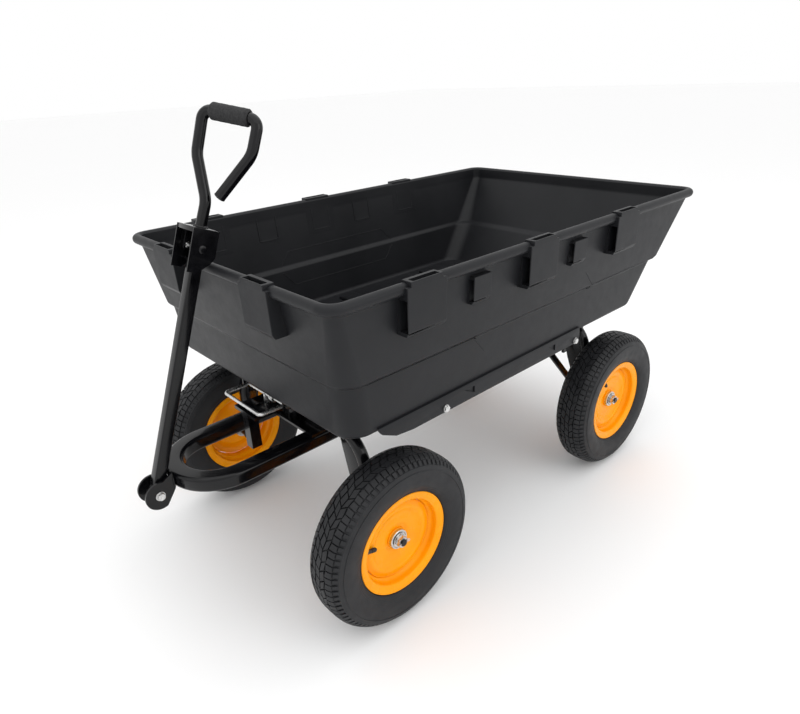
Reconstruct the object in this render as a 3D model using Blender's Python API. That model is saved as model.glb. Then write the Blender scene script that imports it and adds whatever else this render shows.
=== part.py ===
"""Garden dump cart: moulded tub on a steel chassis, four pneumatic wheels, steered draw handle.

Axes: +Z up, -Y forward (the handle end), +X the cart's left side. Metres.
Every sub-part is one object, placed under the empty "cart", which shifts the drawing origin
(ground level under the tub rim's middle) to the middle of the whole cart's footprint.
"""
import math

import bmesh
import bpy
from mathutils import Matrix, Vector

GAP = 0.0003                      # clearance between pieces that touch

# ---- overall layout -------------------------------------------------------------------------
FRONT_AXLE_Y = -0.473
WHEELBASE = 0.8545
TRACK_HALF = 0.338                # wheel centre plane from the cart's middle
REAR_AXLE_Y = FRONT_AXLE_Y + WHEELBASE

# ---- wheels ---------------------------------------------------------------------------------
TYRE_R = 0.200
TYRE_HALF_W = 0.049
BEAD_SEAT_R = 0.1016
FLANGE_R = 0.1187
FLANGE_X = 0.0345
RIM_SHEET = 0.0025
HUB_R = 0.0225
HUB_INNER_X = -0.034
HUB_OUTER_X = 0.0195
BEARING_R = 0.0185
BEARING_LEN = 0.0095
SPINDLE_R = 0.008
SPINDLE_END_X = 0.0365
BORE_GAP = 0.0005
WASHER_R = 0.017
WASHER_T = 0.002
NUT_FLATS = 0.024
NUT_LEN = 0.0105
VALVE_R = 0.0045
WHEEL_FACETS = 24

# ---- tub ------------------------------------------------------------------------------------
WALL = 0.004
FLOOR_Z = 0.482                   # underside of the floor
EDGE_Z = 0.490                    # top of the floor's rounded edge
STEP_Z = 0.600                    # the ledge that runs round the wall
STEP_H = 0.008
LIP_Z = 0.760                     # where the rolled lip starts
RIM_TOP_Z = 0.782
RIM_HALF_X = 0.3987               # middle of the rolled lip
RIM_FRONT_Y = -0.6255
RIM_REAR_Y = 0.6372
LIP_R = 0.0113
EDGE_HALF_X = 0.358
EDGE_FRONT_Y = -0.579
EDGE_REAR_Y = 0.458
STEP_HALF_X = 0.366
STEP_FRONT_Y = -0.590
STEP_REAR_Y = 0.532
STEP_SIDE = 0.010
STEP_FRONT = 0.008
STEP_REAR = 0.016
EDGE_CORNER_R = 0.052              # corner radii seen from above, one per level of the wall
STEP_CORNER_R = 0.050
UPPER_CORNER_R = 0.045
RIM_CORNER_R = 0.031
SILL_OUT_X = 0.364
SILL_BOTTOM_Z = 0.456
SILL_FRONT_Y = -0.500
SILL_REAR_Y = 0.168
POCKET_OUT = 0.0185               # how far a stake pocket stands out past the lip's middle
POCKET_W = 0.098
POCKET_BOTTOM_Z = 0.683
POCKET_SLOT_W = 0.066
POCKET_SLOT_T = 0.015
SIDE_POCKET_YS = (-0.425, -0.078, 0.262)
FRONT_POCKET_X = 0.190

# ---- chassis --------------------------------------------------------------------------------
RAIL_X = 0.235
RAIL_W = 0.030
RAIL_TOP_Z = 0.452                # just under the tub's support frame
RAIL_H = 0.0295
RAIL_BOTTOM_Z = RAIL_TOP_Z - RAIL_H
RAIL_WALL = 0.0025
RAIL_FRONT_Y = -0.515
RAIL_REAR_Y = 0.470
HEAD_PLATE_T = 0.008
HEAD_HALF_Y = 0.030
TONGUE_HALF_X = 0.045
TONGUE_FRONT_Y = -0.605
POST_SIZE = 0.025
POST_BOTTOM_Z = 0.336
HINGE_Y = 0.450
HINGE_Z = 0.300                   # low, so the rising rim swings clear of the stored handle
HINGE_PIN_R = 0.006
HINGE_EYE_R = 0.0122
HINGE_ARM_X = 0.1825
HINGE_ARM_W = 0.015
EAR_T = 0.008
EAR_REACH = 0.0125                # ear past the hinge line, behind and below
EAR_TOP_Z = RAIL_TOP_Z - 0.0195
MEMBER_FRONT_Y = 0.400
MEMBER_REAR_Y = 0.420
STRUT_R = 0.009

# ---- axle arches ----------------------------------------------------------------------------
ARCH_R = 0.014
ARCH_BORE_R = 0.0115
ARCH_TOP_Z = RAIL_BOTTOM_Z - GAP
LEG_X = 0.258
LEG_BOTTOM_Z = TYRE_R - 0.028
LEG_BEND_R = 0.080
GUSSET_T = 0.006
COLLAR_R = 0.013

# ---- steering and draw loop -----------------------------------------------------------------
LOOP_HALF_W = 0.1174
LOOP_T = 0.0407
LOOP_TOP_Z = 0.368
LOOP_H = 0.0344
LOOP_CENTRE_Y = -0.679
LOOP_REAR_Y = -0.430
LOOP_WALL = 0.003
KING_PIN_R = 0.008
TURNTABLE_T = 0.006
TURNTABLE_HALF_Y = 0.036
PIVOT_Y = -0.830
PIVOT_Z = 0.332
PIVOT_BOLT_R = 0.005
CLEVIS_INNER_X = 0.0175
CLEVIS_T = 0.005
CLEVIS_R = 0.031

# ---- pull bar, yoke and grip ----------------------------------------------------------------
BAR_ANGLE = math.radians(21.0)    # from the vertical, leaning back
BAR_SIZE = 0.025
BAR_WALL = 0.002
SLEEVE_R = 0.0135
YOKE_TOP_S = 0.557                # along the bar from its pivot
YOKE_BOTTOM_S = 0.472
YOKE_PLATE_S = 0.492
YOKE_HALF_X = 0.0365
YOKE_FRONT_N = 0.031
YOKE_BACK_N = 0.022
YOKE_WEB_S = 0.505
YOKE_T = 0.003
YOKE_PIN_S = 0.518
YOKE_PIN_N = -0.007
YOKE_PIN_R = 0.004
CAP_T = 0.009
CHEEK_T = 0.008                   # the hand loop's cheeks, either side of the pin's nut
GRIP_TWIST = math.radians(30.0)   # the hand loop is turned about its neck
GRIP_TUBE_R = 0.011
FOAM_R = 0.0165
FOAM_LEN = 0.082
LOOP_BEND_R = 0.018               # bends either side of the foam

# ---- tub frame and latch --------------------------------------------------------------------
RING_R = 0.0125
RING_BORE_R = 0.0100
RING_X = 0.338
RING_Z = RAIL_TOP_Z + RING_R + 0.002
RING_FRONT_Y = -0.505
RING_REAR_Y = 0.168
RING_BEND_R = 0.100
TUB_BOLT_YS = (-0.330, 0.148)
TUB_BOLT_Z = RING_Z - 0.001
TUB_BOLT_R = 0.004
LATCH_Y = -0.545
LATCH_Z = 0.452
LATCH_HALF_X = 0.077
LATCH_FRONT_Y = -0.608
LATCH_ROD_R = 0.004
LATCH_EAR_X = 0.086

# ---- origin: middle of the footprint --------------------------------------------------------
FRONT_END_Y = PIVOT_Y - CLEVIS_R
REAR_END_Y = RIM_REAR_Y + LIP_R * math.cos(math.radians(15))   # the lip's outermost facet
CENTRE_Y = (FRONT_END_Y + REAR_END_Y) / 2

SIDES = (("left", 1), ("right", -1))


# ---- materials ------------------------------------------------------------------------------
def material(name, colour, roughness, metallic):
    mat = bpy.data.materials.new(name)
    mat.use_nodes = True
    shader = mat.node_tree.nodes["Principled BSDF"]
    shader.inputs["Base Color"].default_value = (*colour, 1.0)
    shader.inputs["Roughness"].default_value = roughness
    shader.inputs["Metallic"].default_value = metallic
    return mat


def clear_scene():
    for obj in list(bpy.data.objects):
        bpy.data.objects.remove(obj, do_unlink=True)


clear_scene()
TUB_PLASTIC = material("tub_plastic", (0.030, 0.031, 0.033), 0.55, 0.0)
BLACK_PAINT = material("black_paint", (0.010, 0.010, 0.012), 0.25, 0.6)
ZINC = material("zinc_plate", (0.62, 0.63, 0.64), 0.30, 1.0)
RIM_PAINT = material("rim_paint", (0.90, 0.36, 0.015), 0.25, 0.0)
RUBBER = material("tyre_rubber", (0.018, 0.018, 0.019), 0.70, 0.0)
FOAM = material("grip_foam", (0.020, 0.020, 0.021), 0.85, 0.0)

ROOT = bpy.data.objects.new("cart", None)
bpy.context.collection.objects.link(ROOT)
ROOT.location = (0.0, -CENTRE_Y, 0.0)


def pivot(name, parent, location):
    """An empty on a joint's axis; location is in the drawing's own coordinates."""
    empty = bpy.data.objects.new(name, None)
    bpy.context.collection.objects.link(empty)
    empty.parent = parent
    origin = Vector(location) - world_offset(parent)
    empty.location = origin
    return empty


def world_offset(obj):
    """Drawing coordinates of an empty's origin."""
    total = Vector((0, 0, 0))
    while obj is not ROOT:
        total += Vector(obj.location)
        obj = obj.parent
    return total


def add(name, bm, mat, parent, smooth=None):
    """Makes an object from a bmesh drawn in drawing coordinates, hung under its empty."""
    bmesh.ops.recalc_face_normals(bm, faces=bm.faces)
    offset = world_offset(parent)
    bmesh.ops.translate(bm, verts=bm.verts, vec=-offset)
    mesh = bpy.data.meshes.new(name)
    bm.to_mesh(mesh)
    bm.free()
    mesh.materials.append(mat)
    if smooth is not None:
        mesh.shade_smooth()
        mesh.set_sharp_from_angle(angle=math.radians(smooth))
    obj = bpy.data.objects.new(name, mesh)
    bpy.context.collection.objects.link(obj)
    obj.parent = parent
    return obj


# ---- shape tools ----------------------------------------------------------------------------
def box(x0, x1, y0, y1, z0, z1):
    bm = bmesh.new()
    size = Matrix.Diagonal((abs(x1 - x0), abs(y1 - y0), abs(z1 - z0), 1))
    centre = Matrix.Translation(((x0 + x1) / 2, (y0 + y1) / 2, (z0 + z1) / 2))
    bmesh.ops.create_cube(bm, size=1.0, matrix=centre @ size)
    return bm


def sided_box(side, x0, x1, y0, y1, z0, z1):
    """A box given for the left side, mirrored for the right one."""
    return box(side * x0, side * x1, y0, y1, z0, z1)


def prism(points, half, axis="X", centre=0.0):
    """An outline extruded along one axis. Points are (y, z) for X, (x, z) for Y."""
    bm = bmesh.new()
    rings = []
    for end in (centre - half, centre + half):
        if axis == "X":
            ring = [bm.verts.new((end, p[0], p[1])) for p in points]
        else:
            ring = [bm.verts.new((p[0], end, p[1])) for p in points]
        rings.append(ring)
    count = len(points)
    for k in range(count):
        n = (k + 1) % count
        bm.faces.new((rings[0][k], rings[0][n], rings[1][n], rings[1][k]))
    bm.faces.new(rings[0])
    bm.faces.new(rings[1])
    return bm


def circle(radius, count, phase=0.0):
    step = 2 * math.pi / count
    return [(radius * math.cos(phase + k * step), radius * math.sin(phase + k * step)) for k in range(count)]


def rod(centre, axis, radius, start, end, count=12, bore=0.0):
    """A bar, or a bushing when bore is set, along X, Y or Z through centre."""
    bm = bmesh.new()
    spin = {"X": Matrix.Rotation(math.pi / 2, 4, "Y"), "Y": Matrix.Rotation(-math.pi / 2, 4, "X"),
            "Z": Matrix.Identity(4)}[axis]
    rings = []
    for radii, z in ((radius, start), (radius, end), (bore, end), (bore, start)):
        if radii > 0:
            rings.append([bm.verts.new((x, y, z)) for x, y in circle(radii, count, math.pi / count)])
    pairs = list(zip(rings, rings[1:] + rings[:1])) if bore else [(rings[0], rings[1])]
    for low, high in pairs:
        for k in range(count):
            n = (k + 1) % count
            bm.faces.new((low[k], low[n], high[n], high[k]))
    if not bore:
        bm.faces.new(rings[0])
        bm.faces.new(rings[1])
    bmesh.ops.transform(bm, matrix=Matrix.Translation(centre) @ spin, verts=bm.verts)
    return bm


def lathe(profile, centre, side, count):
    """Turns a closed (x, r) outline about X. Side -1 mirrors it for the cart's right side."""
    bm = bmesh.new()
    rings = []
    for k in range(count):
        angle = 2 * math.pi * k / count - math.pi / 2
        rings.append([bm.verts.new((side * x, r * math.cos(angle), r * math.sin(angle))) for x, r in profile])
    size = len(profile)
    for k in range(count):
        here, there = rings[k], rings[(k + 1) % count]
        for j in range(size):
            i = (j + 1) % size
            bm.faces.new((here[j], here[i], there[i], there[j]))
    bmesh.ops.translate(bm, verts=bm.verts, vec=centre)
    return bm


def fillet_path(corners, radii, steps=5):
    """Points along straight runs joined by arcs at the inner corners."""
    path = [Vector(corners[0])]
    for before, here, after, radius in zip(corners, corners[1:], corners[2:], radii):
        here = Vector(here)
        back = (Vector(before) - here).normalized()
        on = (Vector(after) - here).normalized()
        half = back.angle(on) / 2
        reach = radius / math.tan(half)
        middle = here + (back + on).normalized() * (radius / math.sin(half))
        first = here + back * reach - middle
        last = here + on * reach - middle
        for k in range(steps + 1):
            path.append(middle + first.slerp(last, k / steps).normalized() * radius)
    path.append(Vector(corners[-1]))
    return path


def sweep(path, section, up, inner=None, closed=False):
    """Carries a section along a path; with an inner section the result is an open-ended tube."""
    bm = bmesh.new()
    count = len(path)
    shells = [section] + ([inner] if inner else [])
    skins = []
    for shape in shells:
        rings = []
        for k, point in enumerate(path):
            before = path[k - 1] if k or closed else point
            after = path[(k + 1) % count] if k < count - 1 or closed else point
            run = (after - before).normalized()
            side = run.cross(up).normalized()
            top = side.cross(run).normalized()
            stretch = 1.0
            if 0 < k < count - 1:
                bend = (point - before).angle(after - point)
                stretch = 1 / math.cos(bend / 2)
            turn = Vector((0, 0, 0))
            if 0 < k < count - 1:
                turn = ((after - point).normalized() - (point - before).normalized())
            ring = []
            for a, b in shape:
                offset = side * a + top * b
                if turn.length > 1e-6:
                    out = turn.normalized()
                    offset += out * (offset.dot(out) * (stretch - 1))
                ring.append(bm.verts.new(point + offset))
            rings.append(ring)
        for low, high in zip(rings, rings[1:] + (rings[:1] if closed else [])):
            size = len(low)
            for j in range(size):
                i = (j + 1) % size
                bm.faces.new((low[j], low[i], high[i], high[j]))
        skins.append(rings)
    if closed:
        return bm
    for end in (0, -1):
        if inner:
            outer_ring, inner_ring = skins[0][end], skins[1][end]
            size = len(outer_ring)
            for j in range(size):
                i = (j + 1) % size
                bm.faces.new((outer_ring[j], outer_ring[i], inner_ring[i], inner_ring[j]))
        else:
            bm.faces.new(skins[0][end])
    return bm


def rectangle(width, height, corner=0.0):
    """A (side, top) section; with a corner size the edges are cut at 45 degrees."""
    w, h, c = width / 2, height / 2, corner
    if not c:
        return [(w, h), (-w, h), (-w, -h), (w, -h)]
    upper = [(w, h - c), (w - c, h), (-w + c, h), (-w, h - c)]
    return upper + [(-w, -h + c), (-w + c, -h), (w - c, -h), (w, -h + c)]


def combine(first, others, operation="UNION"):
    """Boolean of bmeshes, worked out with modifiers on throwaway objects."""
    temp = []
    for bm in [first] + others:
        bmesh.ops.recalc_face_normals(bm, faces=bm.faces)
        mesh = bpy.data.meshes.new("cutter")
        bm.to_mesh(mesh)
        bm.free()
        obj = bpy.data.objects.new("cutter", mesh)
        bpy.context.collection.objects.link(obj)
        temp.append(obj)
    base = temp[0]
    for obj in temp[1:]:
        modifier = base.modifiers.new("bool", "BOOLEAN")
        modifier.operation = operation
        modifier.solver = "EXACT"
        modifier.object = obj
    bpy.context.view_layer.update()
    evaluated = base.evaluated_get(bpy.context.evaluated_depsgraph_get())
    result = bmesh.new()
    result.from_mesh(evaluated.to_mesh())
    evaluated.to_mesh_clear()
    for obj in temp:
        mesh = obj.data
        bpy.data.objects.remove(obj, do_unlink=True)
        bpy.data.meshes.remove(mesh)
    bmesh.ops.remove_doubles(result, verts=result.verts, dist=1e-6)
    bmesh.ops.dissolve_degenerate(result, dist=1e-6, edges=result.edges)
    return result


def cut(first, others):
    return combine(first, others, "DIFFERENCE")


# ---- bodies' empties ------------------------------------------------------------------------
chassis = pivot("chassis_body", ROOT, (0, 0, 0))
steering = pivot("steering_body", chassis, (0, FRONT_AXLE_Y, LOOP_TOP_Z))
handle = pivot("handle_body", steering, (0, PIVOT_Y, PIVOT_Z))
BAR_DIR = Vector((0, math.sin(BAR_ANGLE), math.cos(BAR_ANGLE)))
BAR_BACK = Vector((0, math.cos(BAR_ANGLE), -math.sin(BAR_ANGLE)))
PIVOT_POINT = Vector((0, PIVOT_Y, PIVOT_Z))


def on_bar(along, back, x=0.0):
    """A point given along the pull bar from its pivot, and back towards the tub."""
    return PIVOT_POINT + BAR_DIR * along + BAR_BACK * back + Vector((x, 0, 0))


GRIP_PIVOT = on_bar(YOKE_PIN_S, YOKE_PIN_N)
grip = pivot("grip_body", handle, GRIP_PIVOT)
tub_body = pivot("tub_body", chassis, (0, HINGE_Y, HINGE_Z))
latch = pivot("latch_body", tub_body, (0, LATCH_Y, LATCH_Z))


# ---- wheels ---------------------------------------------------------------------------------
def mirrored_profile(half_outer, half_inner):
    """A closed outline from its +x half: outer skin from +x to the middle, inner skin back."""
    outer = half_outer + [(-x, r) for x, r in reversed(half_outer[:-1])]
    inner = [(-x, r) for x, r in half_inner] + [(x, r) for x, r in reversed(half_inner[:-1])]
    return outer + inner


def tyre_profile():
    w = TYRE_HALF_W
    wall_r = (TYRE_R + FLANGE_R) / 2
    seat = BEAD_SEAT_R + GAP
    outer = [(0.0295, seat), (FLANGE_X - 0.0012, FLANGE_R + 0.0008),
             (w - 0.003, FLANGE_R + 0.018), (w, wall_r), (w - 0.006, TYRE_R - 0.016),
             (w - 0.019, TYRE_R - 0.004), (0.0, TYRE_R)]
    inner = [(0.023, BEAD_SEAT_R + 0.0105), (w - 0.008, wall_r + 0.002), (w - 0.015, TYRE_R - 0.016),
             (0.0, TYRE_R - 0.0085)]
    return mirrored_profile(outer, inner)


def rim_profile():
    t = RIM_SHEET
    seat = BEAD_SEAT_R
    well = seat - 0.009
    bore = HUB_R + 0.0004
    tyre_side = [(-FLANGE_X, FLANGE_R), (-0.0312, seat), (-0.0150, seat), (-0.0110, well),
                 (0.0110, well), (0.0150, seat), (0.0312, seat), (FLANGE_X, FLANGE_R)]
    air_side = [(FLANGE_X + t, FLANGE_R), (0.0338, seat - t), (0.0165, seat - t), (0.0128, well - t),
                (0.0100, well - t), (0.0140, 0.070), (0.0100, 0.040), (0.0080, bore),
                (0.0050, bore), (0.0070, 0.040), (0.0110, 0.070), (0.0068, well - t),
                (-0.0128, well - t), (-0.0165, seat - t), (-0.0338, seat - t), (-FLANGE_X - t, FLANGE_R)]
    return tyre_side + air_side


def hub_profile():
    pocket = BEARING_R + GAP
    bore = SPINDLE_R + BORE_GAP
    shoulder = HUB_OUTER_X - BEARING_LEN - GAP
    return [(HUB_INNER_X, HUB_R), (HUB_OUTER_X, HUB_R), (HUB_OUTER_X, pocket), (shoulder, pocket),
            (shoulder, bore), (HUB_INNER_X, bore)]


def ring_profile(x0, x1, inner_r, outer_r):
    return [(x0, outer_r), (x1, outer_r), (x1, inner_r), (x0, inner_r)]


def hexagon_nut(centre, side, x0, x1, bore):
    """A hex ring: its outline alternates corner and mid-flat so it meets a 12-sided bore."""
    bm = bmesh.new()
    flat = NUT_FLATS / 2
    rings = []
    for x, inner in ((x0, False), (x1, False), (x1, True), (x0, True)):
        ring = []
        for k in range(12):
            angle = math.pi * k / 6
            radius = bore if inner else (flat / math.cos(math.pi / 6) if k % 2 else flat)
            ring.append(bm.verts.new((side * x, radius * math.cos(angle), radius * math.sin(angle))))
        rings.append(ring)
    for low, high in zip(rings, rings[1:] + rings[:1]):
        for k in range(12):
            n = (k + 1) % 12
            bm.faces.new((low[k], low[n], high[n], high[k]))
    bmesh.ops.translate(bm, verts=bm.verts, vec=centre)
    return bm


def valve_stem(centre, side, angle):
    """The stem stands out of the rim's barrel and points in towards the hub."""
    outward = Vector((0, math.cos(angle), math.sin(angle)))
    along_x = Vector((side * 0.0225, 0, 0))
    start = centre + along_x + outward * (BEAD_SEAT_R - RIM_SHEET - 0.004)
    middle = centre + along_x + outward * 0.078
    end = centre + along_x + outward * 0.066
    bm = sweep([start, middle, end], circle(VALVE_R, 8), Vector((1, 0, 0)))
    return bm


def wheel(end, side_name, side, axle_y, holder, valve_angle):
    name = f"{end}_{side_name}"
    centre = Vector((side * TRACK_HALF, axle_y, TYRE_R))
    turning = pivot(f"{name}_wheel_body", holder, centre)
    add(f"{name}_tyre", lathe(tyre_profile(), centre, side, WHEEL_FACETS), RUBBER, turning, 50)
    add(f"{name}_rim", lathe(rim_profile(), centre, side, WHEEL_FACETS), RIM_PAINT, turning, 40)
    add(f"{name}_hub", lathe(hub_profile(), centre, side, 16), ZINC, turning, 40)
    bearing = ring_profile(HUB_OUTER_X - BEARING_LEN, HUB_OUTER_X - GAP, SPINDLE_R + BORE_GAP, BEARING_R)
    add(f"{name}_bearing", lathe(bearing, centre, side, 16), ZINC, turning, 40)
    add(f"{name}_valve", valve_stem(centre, side, valve_angle), RUBBER, turning, 40)
    washer_x = HUB_OUTER_X + GAP
    washer = ring_profile(washer_x, washer_x + WASHER_T, SPINDLE_R + BORE_GAP, WASHER_R)
    add(f"{name}_washer", lathe(washer, centre, side, 16), ZINC, holder, 40)
    nut_x = washer_x + WASHER_T + GAP
    nut = hexagon_nut(centre, side, nut_x, nut_x + NUT_LEN, SPINDLE_R + BORE_GAP)
    add(f"{name}_axle_nut", nut, ZINC, holder)


# ---- axle arches ----------------------------------------------------------------------------
def axle_arch(axle_y, boss):
    """Bent tube over the axle line, with a spindle and a gusset at each leg."""
    centre_z = ARCH_TOP_Z - ARCH_R
    corners = [(LEG_X, axle_y, LEG_BOTTOM_Z), (LEG_X, axle_y, centre_z), (-LEG_X, axle_y, centre_z),
               (-LEG_X, axle_y, LEG_BOTTOM_Z)]
    path = fillet_path(corners, (LEG_BEND_R, LEG_BEND_R), 4)
    tube = sweep(path, circle(ARCH_R, 8, math.pi / 8), Vector((0, 1, 0)),
                 circle(ARCH_BORE_R, 8, math.pi / 8))
    extras = []
    for _, side in SIDES:
        shoulder = TRACK_HALF + HUB_INNER_X - BORE_GAP
        spindle_end = TRACK_HALF + SPINDLE_END_X
        low, high = sorted((side * (LEG_X - 0.020), side * spindle_end))
        extras.append(rod((0, axle_y, TYRE_R), "X", SPINDLE_R, low, high, 12))
        low, high = sorted((side * (LEG_X - 0.006), side * shoulder))
        extras.append(rod((0, axle_y, TYRE_R), "X", COLLAR_R, low, high, 12))
        inner = LEG_X - ARCH_R + 0.002
        low = TYRE_R
        outline = [(inner, low), (inner - 0.022, low + 0.032), (inner - 0.044, low + 0.092),
                   (inner - 0.064, 0.368), (inner - 0.070, centre_z - ARCH_R + 0.002),
                   (LEG_X - LEG_BEND_R, centre_z - 0.006), (LEG_X - 0.030, centre_z - 0.030),
                   (inner + 0.004, centre_z - LEG_BEND_R)]
        extras.append(prism([(side * x, z) for x, z in outline], GUSSET_T / 2, "Y", axle_y))
    if boss:
        extras.append(rod((0, axle_y, 0), "Z", 0.021, centre_z - ARCH_R, ARCH_TOP_Z - 0.0002, 16))
    solid = combine(tube, extras)
    if boss:
        solid = cut(solid, [rod((0, axle_y, 0), "Z", KING_PIN_R + BORE_GAP, 0.3, 0.5, 12)])
    return solid


def rear_strut(side):
    """Diagonal brace from under the rail down to the axle arch's leg."""
    top = Vector((side * 0.240, REAR_AXLE_Y - 0.1980, ARCH_TOP_Z - STRUT_R * 0.72))
    foot = Vector((side * (LEG_X - 0.006), REAR_AXLE_Y - 0.006, TYRE_R - 0.009))
    return sweep([top, foot], circle(STRUT_R, 8), Vector((1, 0, 0)))


# ---- chassis --------------------------------------------------------------------------------
def build_chassis():
    rail_z = RAIL_BOTTOM_Z + RAIL_H / 2
    for name, side in SIDES:
        path = [Vector((side * RAIL_X, RAIL_FRONT_Y, rail_z)), Vector((side * RAIL_X, RAIL_REAR_Y, rail_z))]
        hollow = rectangle(RAIL_W - 2 * RAIL_WALL, RAIL_H - 2 * RAIL_WALL)
        add(f"rail_{name}", sweep(path, rectangle(RAIL_W, RAIL_H), Vector((0, 0, 1)), hollow),
            BLACK_PAINT, chassis)

    inside = RAIL_X - RAIL_W / 2 - GAP
    top = RAIL_BOTTOM_Z + HEAD_PLATE_T
    head = box(-inside, inside, FRONT_AXLE_Y - HEAD_HALF_Y, FRONT_AXLE_Y + HEAD_HALF_Y, RAIL_BOTTOM_Z, top)
    tongue = box(-TONGUE_HALF_X, TONGUE_HALF_X, TONGUE_FRONT_Y, FRONT_AXLE_Y, RAIL_BOTTOM_Z, top)
    post_half = POST_SIZE / 2
    post = box(-post_half, post_half, TONGUE_FRONT_Y, TONGUE_FRONT_Y + POST_SIZE, POST_BOTTOM_Z, top)
    crosshead = combine(head, [tongue, post])
    slot = box(-0.010, 0.010, LATCH_Y - 0.027, LATCH_Y + 0.012, 0.4, 0.5)
    hole = rod((0, FRONT_AXLE_Y, 0), "Z", KING_PIN_R + BORE_GAP, 0.4, 0.5, 12)
    add("front_crosshead", cut(crosshead, [slot, hole]), BLACK_PAINT, chassis)

    member = box(-inside, inside, MEMBER_FRONT_Y, MEMBER_REAR_Y, RAIL_BOTTOM_Z, RAIL_TOP_Z - 0.001)
    ears = []
    for _, side in SIDES:
        for step in (-1, 1):
            middle = HINGE_ARM_X + step * (HINGE_ARM_W / 2 + EAR_T / 2 + 0.0005)
            ears.append(sided_box(side, middle - EAR_T / 2, middle + EAR_T / 2, MEMBER_FRONT_Y + 0.0005,
                                  HINGE_Y + EAR_REACH, HINGE_Z - EAR_REACH, EAR_TOP_Z))
    bores = [rod((0, HINGE_Y, HINGE_Z), "X", HINGE_PIN_R + BORE_GAP, -0.3, 0.3, 12)]
    add("rear_crossmember", cut(combine(member, ears), bores), BLACK_PAINT, chassis)
    for name, side in SIDES:
        ends = sorted((side * (HINGE_ARM_X - 0.0195), side * (HINGE_ARM_X + 0.0195)))
        add(f"hinge_pin_{name}", rod((0, HINGE_Y, HINGE_Z), "X", HINGE_PIN_R, ends[0], ends[1], 12),
            ZINC, chassis, 40)

    arch = combine(axle_arch(REAR_AXLE_Y, False), [rear_strut(1), rear_strut(-1)])
    add("rear_axle_arch", arch, BLACK_PAINT, chassis, 40)

    head_z = top + GAP
    pin = rod((0, FRONT_AXLE_Y, 0), "Z", KING_PIN_R, 0.348, head_z + 0.002, 12)
    cap = rod((0, FRONT_AXLE_Y, 0), "Z", 0.0125, head_z, head_z + 0.009, 12)
    add("king_pin", combine(pin, [cap]), ZINC, chassis, 40)
    nut_top = LOOP_TOP_Z + GAP - 0.0006
    nut_bore = (KING_PIN_R + BORE_GAP) / math.cos(math.pi / 6)
    nut = rod((0, FRONT_AXLE_Y, 0), "Z", 0.0145, nut_top - 0.012, nut_top, 6, nut_bore)
    add("king_pin_nut", nut, ZINC, chassis)


# ---- steering -------------------------------------------------------------------------------
def clevis_outline():
    points = []
    for k in range(11):
        angle = math.radians(70 + 22 * k)
        points.append((PIVOT_Y + CLEVIS_R * math.cos(angle), PIVOT_Z + CLEVIS_R * math.sin(angle)))
    back = LOOP_CENTRE_Y - LOOP_HALF_W - 0.0008
    points.append((back, LOOP_TOP_Z - LOOP_H))
    points.append((back, LOOP_TOP_Z + 0.006))
    return points


def build_steering():
    add("front_axle_arch", axle_arch(FRONT_AXLE_Y, True), BLACK_PAINT, steering, 40)

    middle = LOOP_HALF_W - LOOP_T / 2
    z = LOOP_TOP_Z - LOOP_H / 2
    path = [Vector((middle, LOOP_REAR_Y, z))]
    for k in range(13):
        angle = -math.pi * k / 12
        path.append(Vector((middle * math.cos(angle), LOOP_CENTRE_Y + middle * math.sin(angle), z)))
    path.append(Vector((-middle, LOOP_REAR_Y, z)))
    add("draw_loop", sweep(path, rectangle(LOOP_T, LOOP_H, 0.005), Vector((0, 0, 1)),
                           rectangle(LOOP_T - 2 * LOOP_WALL, LOOP_H - 2 * LOOP_WALL, 0.003)),
        BLACK_PAINT, steering, 40)

    low = LOOP_TOP_Z + GAP
    plate = box(-LOOP_HALF_W, LOOP_HALF_W, FRONT_AXLE_Y - TURNTABLE_HALF_Y, FRONT_AXLE_Y + TURNTABLE_HALF_Y,
                low, low + TURNTABLE_T)
    boss = rod((0, FRONT_AXLE_Y, 0), "Z", 0.021, low, ARCH_TOP_Z - 2 * ARCH_R - GAP, 16)
    hole = rod((0, FRONT_AXLE_Y, 0), "Z", KING_PIN_R + BORE_GAP, 0.3, 0.5, 12)
    add("turntable_plate", cut(combine(plate, [boss]), [hole]), BLACK_PAINT, steering, 40)

    for name, side in SIDES:
        centre = side * (CLEVIS_INNER_X + CLEVIS_T / 2)
        plate = prism(clevis_outline(), CLEVIS_T / 2, "X", centre)
        bore = rod((0, PIVOT_Y, PIVOT_Z), "X", PIVOT_BOLT_R + BORE_GAP, -0.1, 0.1, 12)
        add(f"clevis_plate_{name}", cut(plate, [bore]), BLACK_PAINT, steering, 30)

    reach = CLEVIS_INNER_X + CLEVIS_T + GAP
    shank = rod((0, PIVOT_Y, PIVOT_Z), "X", PIVOT_BOLT_R, -reach - 0.001, reach + 0.001, 12)
    head = rod((0, PIVOT_Y, PIVOT_Z), "X", 0.0088, reach, reach + 0.0065, 6)
    nut = rod((0, PIVOT_Y, PIVOT_Z), "X", 0.0088, -reach - 0.0065, -reach, 6)
    add("clevis_bolt", combine(shank, [head, nut]), ZINC, steering, 40)


# ---- handle ---------------------------------------------------------------------------------
def yoke_outline():
    """Side flange of the yoke as (along the bar, back) pairs; the lower back corner clears the rim."""
    return [(YOKE_TOP_S, -YOKE_FRONT_N), (YOKE_TOP_S, YOKE_BACK_N), (YOKE_WEB_S, YOKE_BACK_N),
            (YOKE_PLATE_S, 0.0135), (YOKE_BOTTOM_S, -0.010), (YOKE_BOTTOM_S, -YOKE_FRONT_N)]


def bar_prism(outline, x0, x1):
    """An outline given along the bar and back from it, extruded across the cart."""
    points = [on_bar(s, n) for s, n in outline]
    return prism([(p.y, p.z) for p in points], abs(x1 - x0) / 2, "X", (x0 + x1) / 2)


def bar_box(s0, s1, n0, n1, x0, x1):
    return bar_prism([(s0, n0), (s1, n0), (s1, n1), (s0, n1)], x0, x1)


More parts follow.
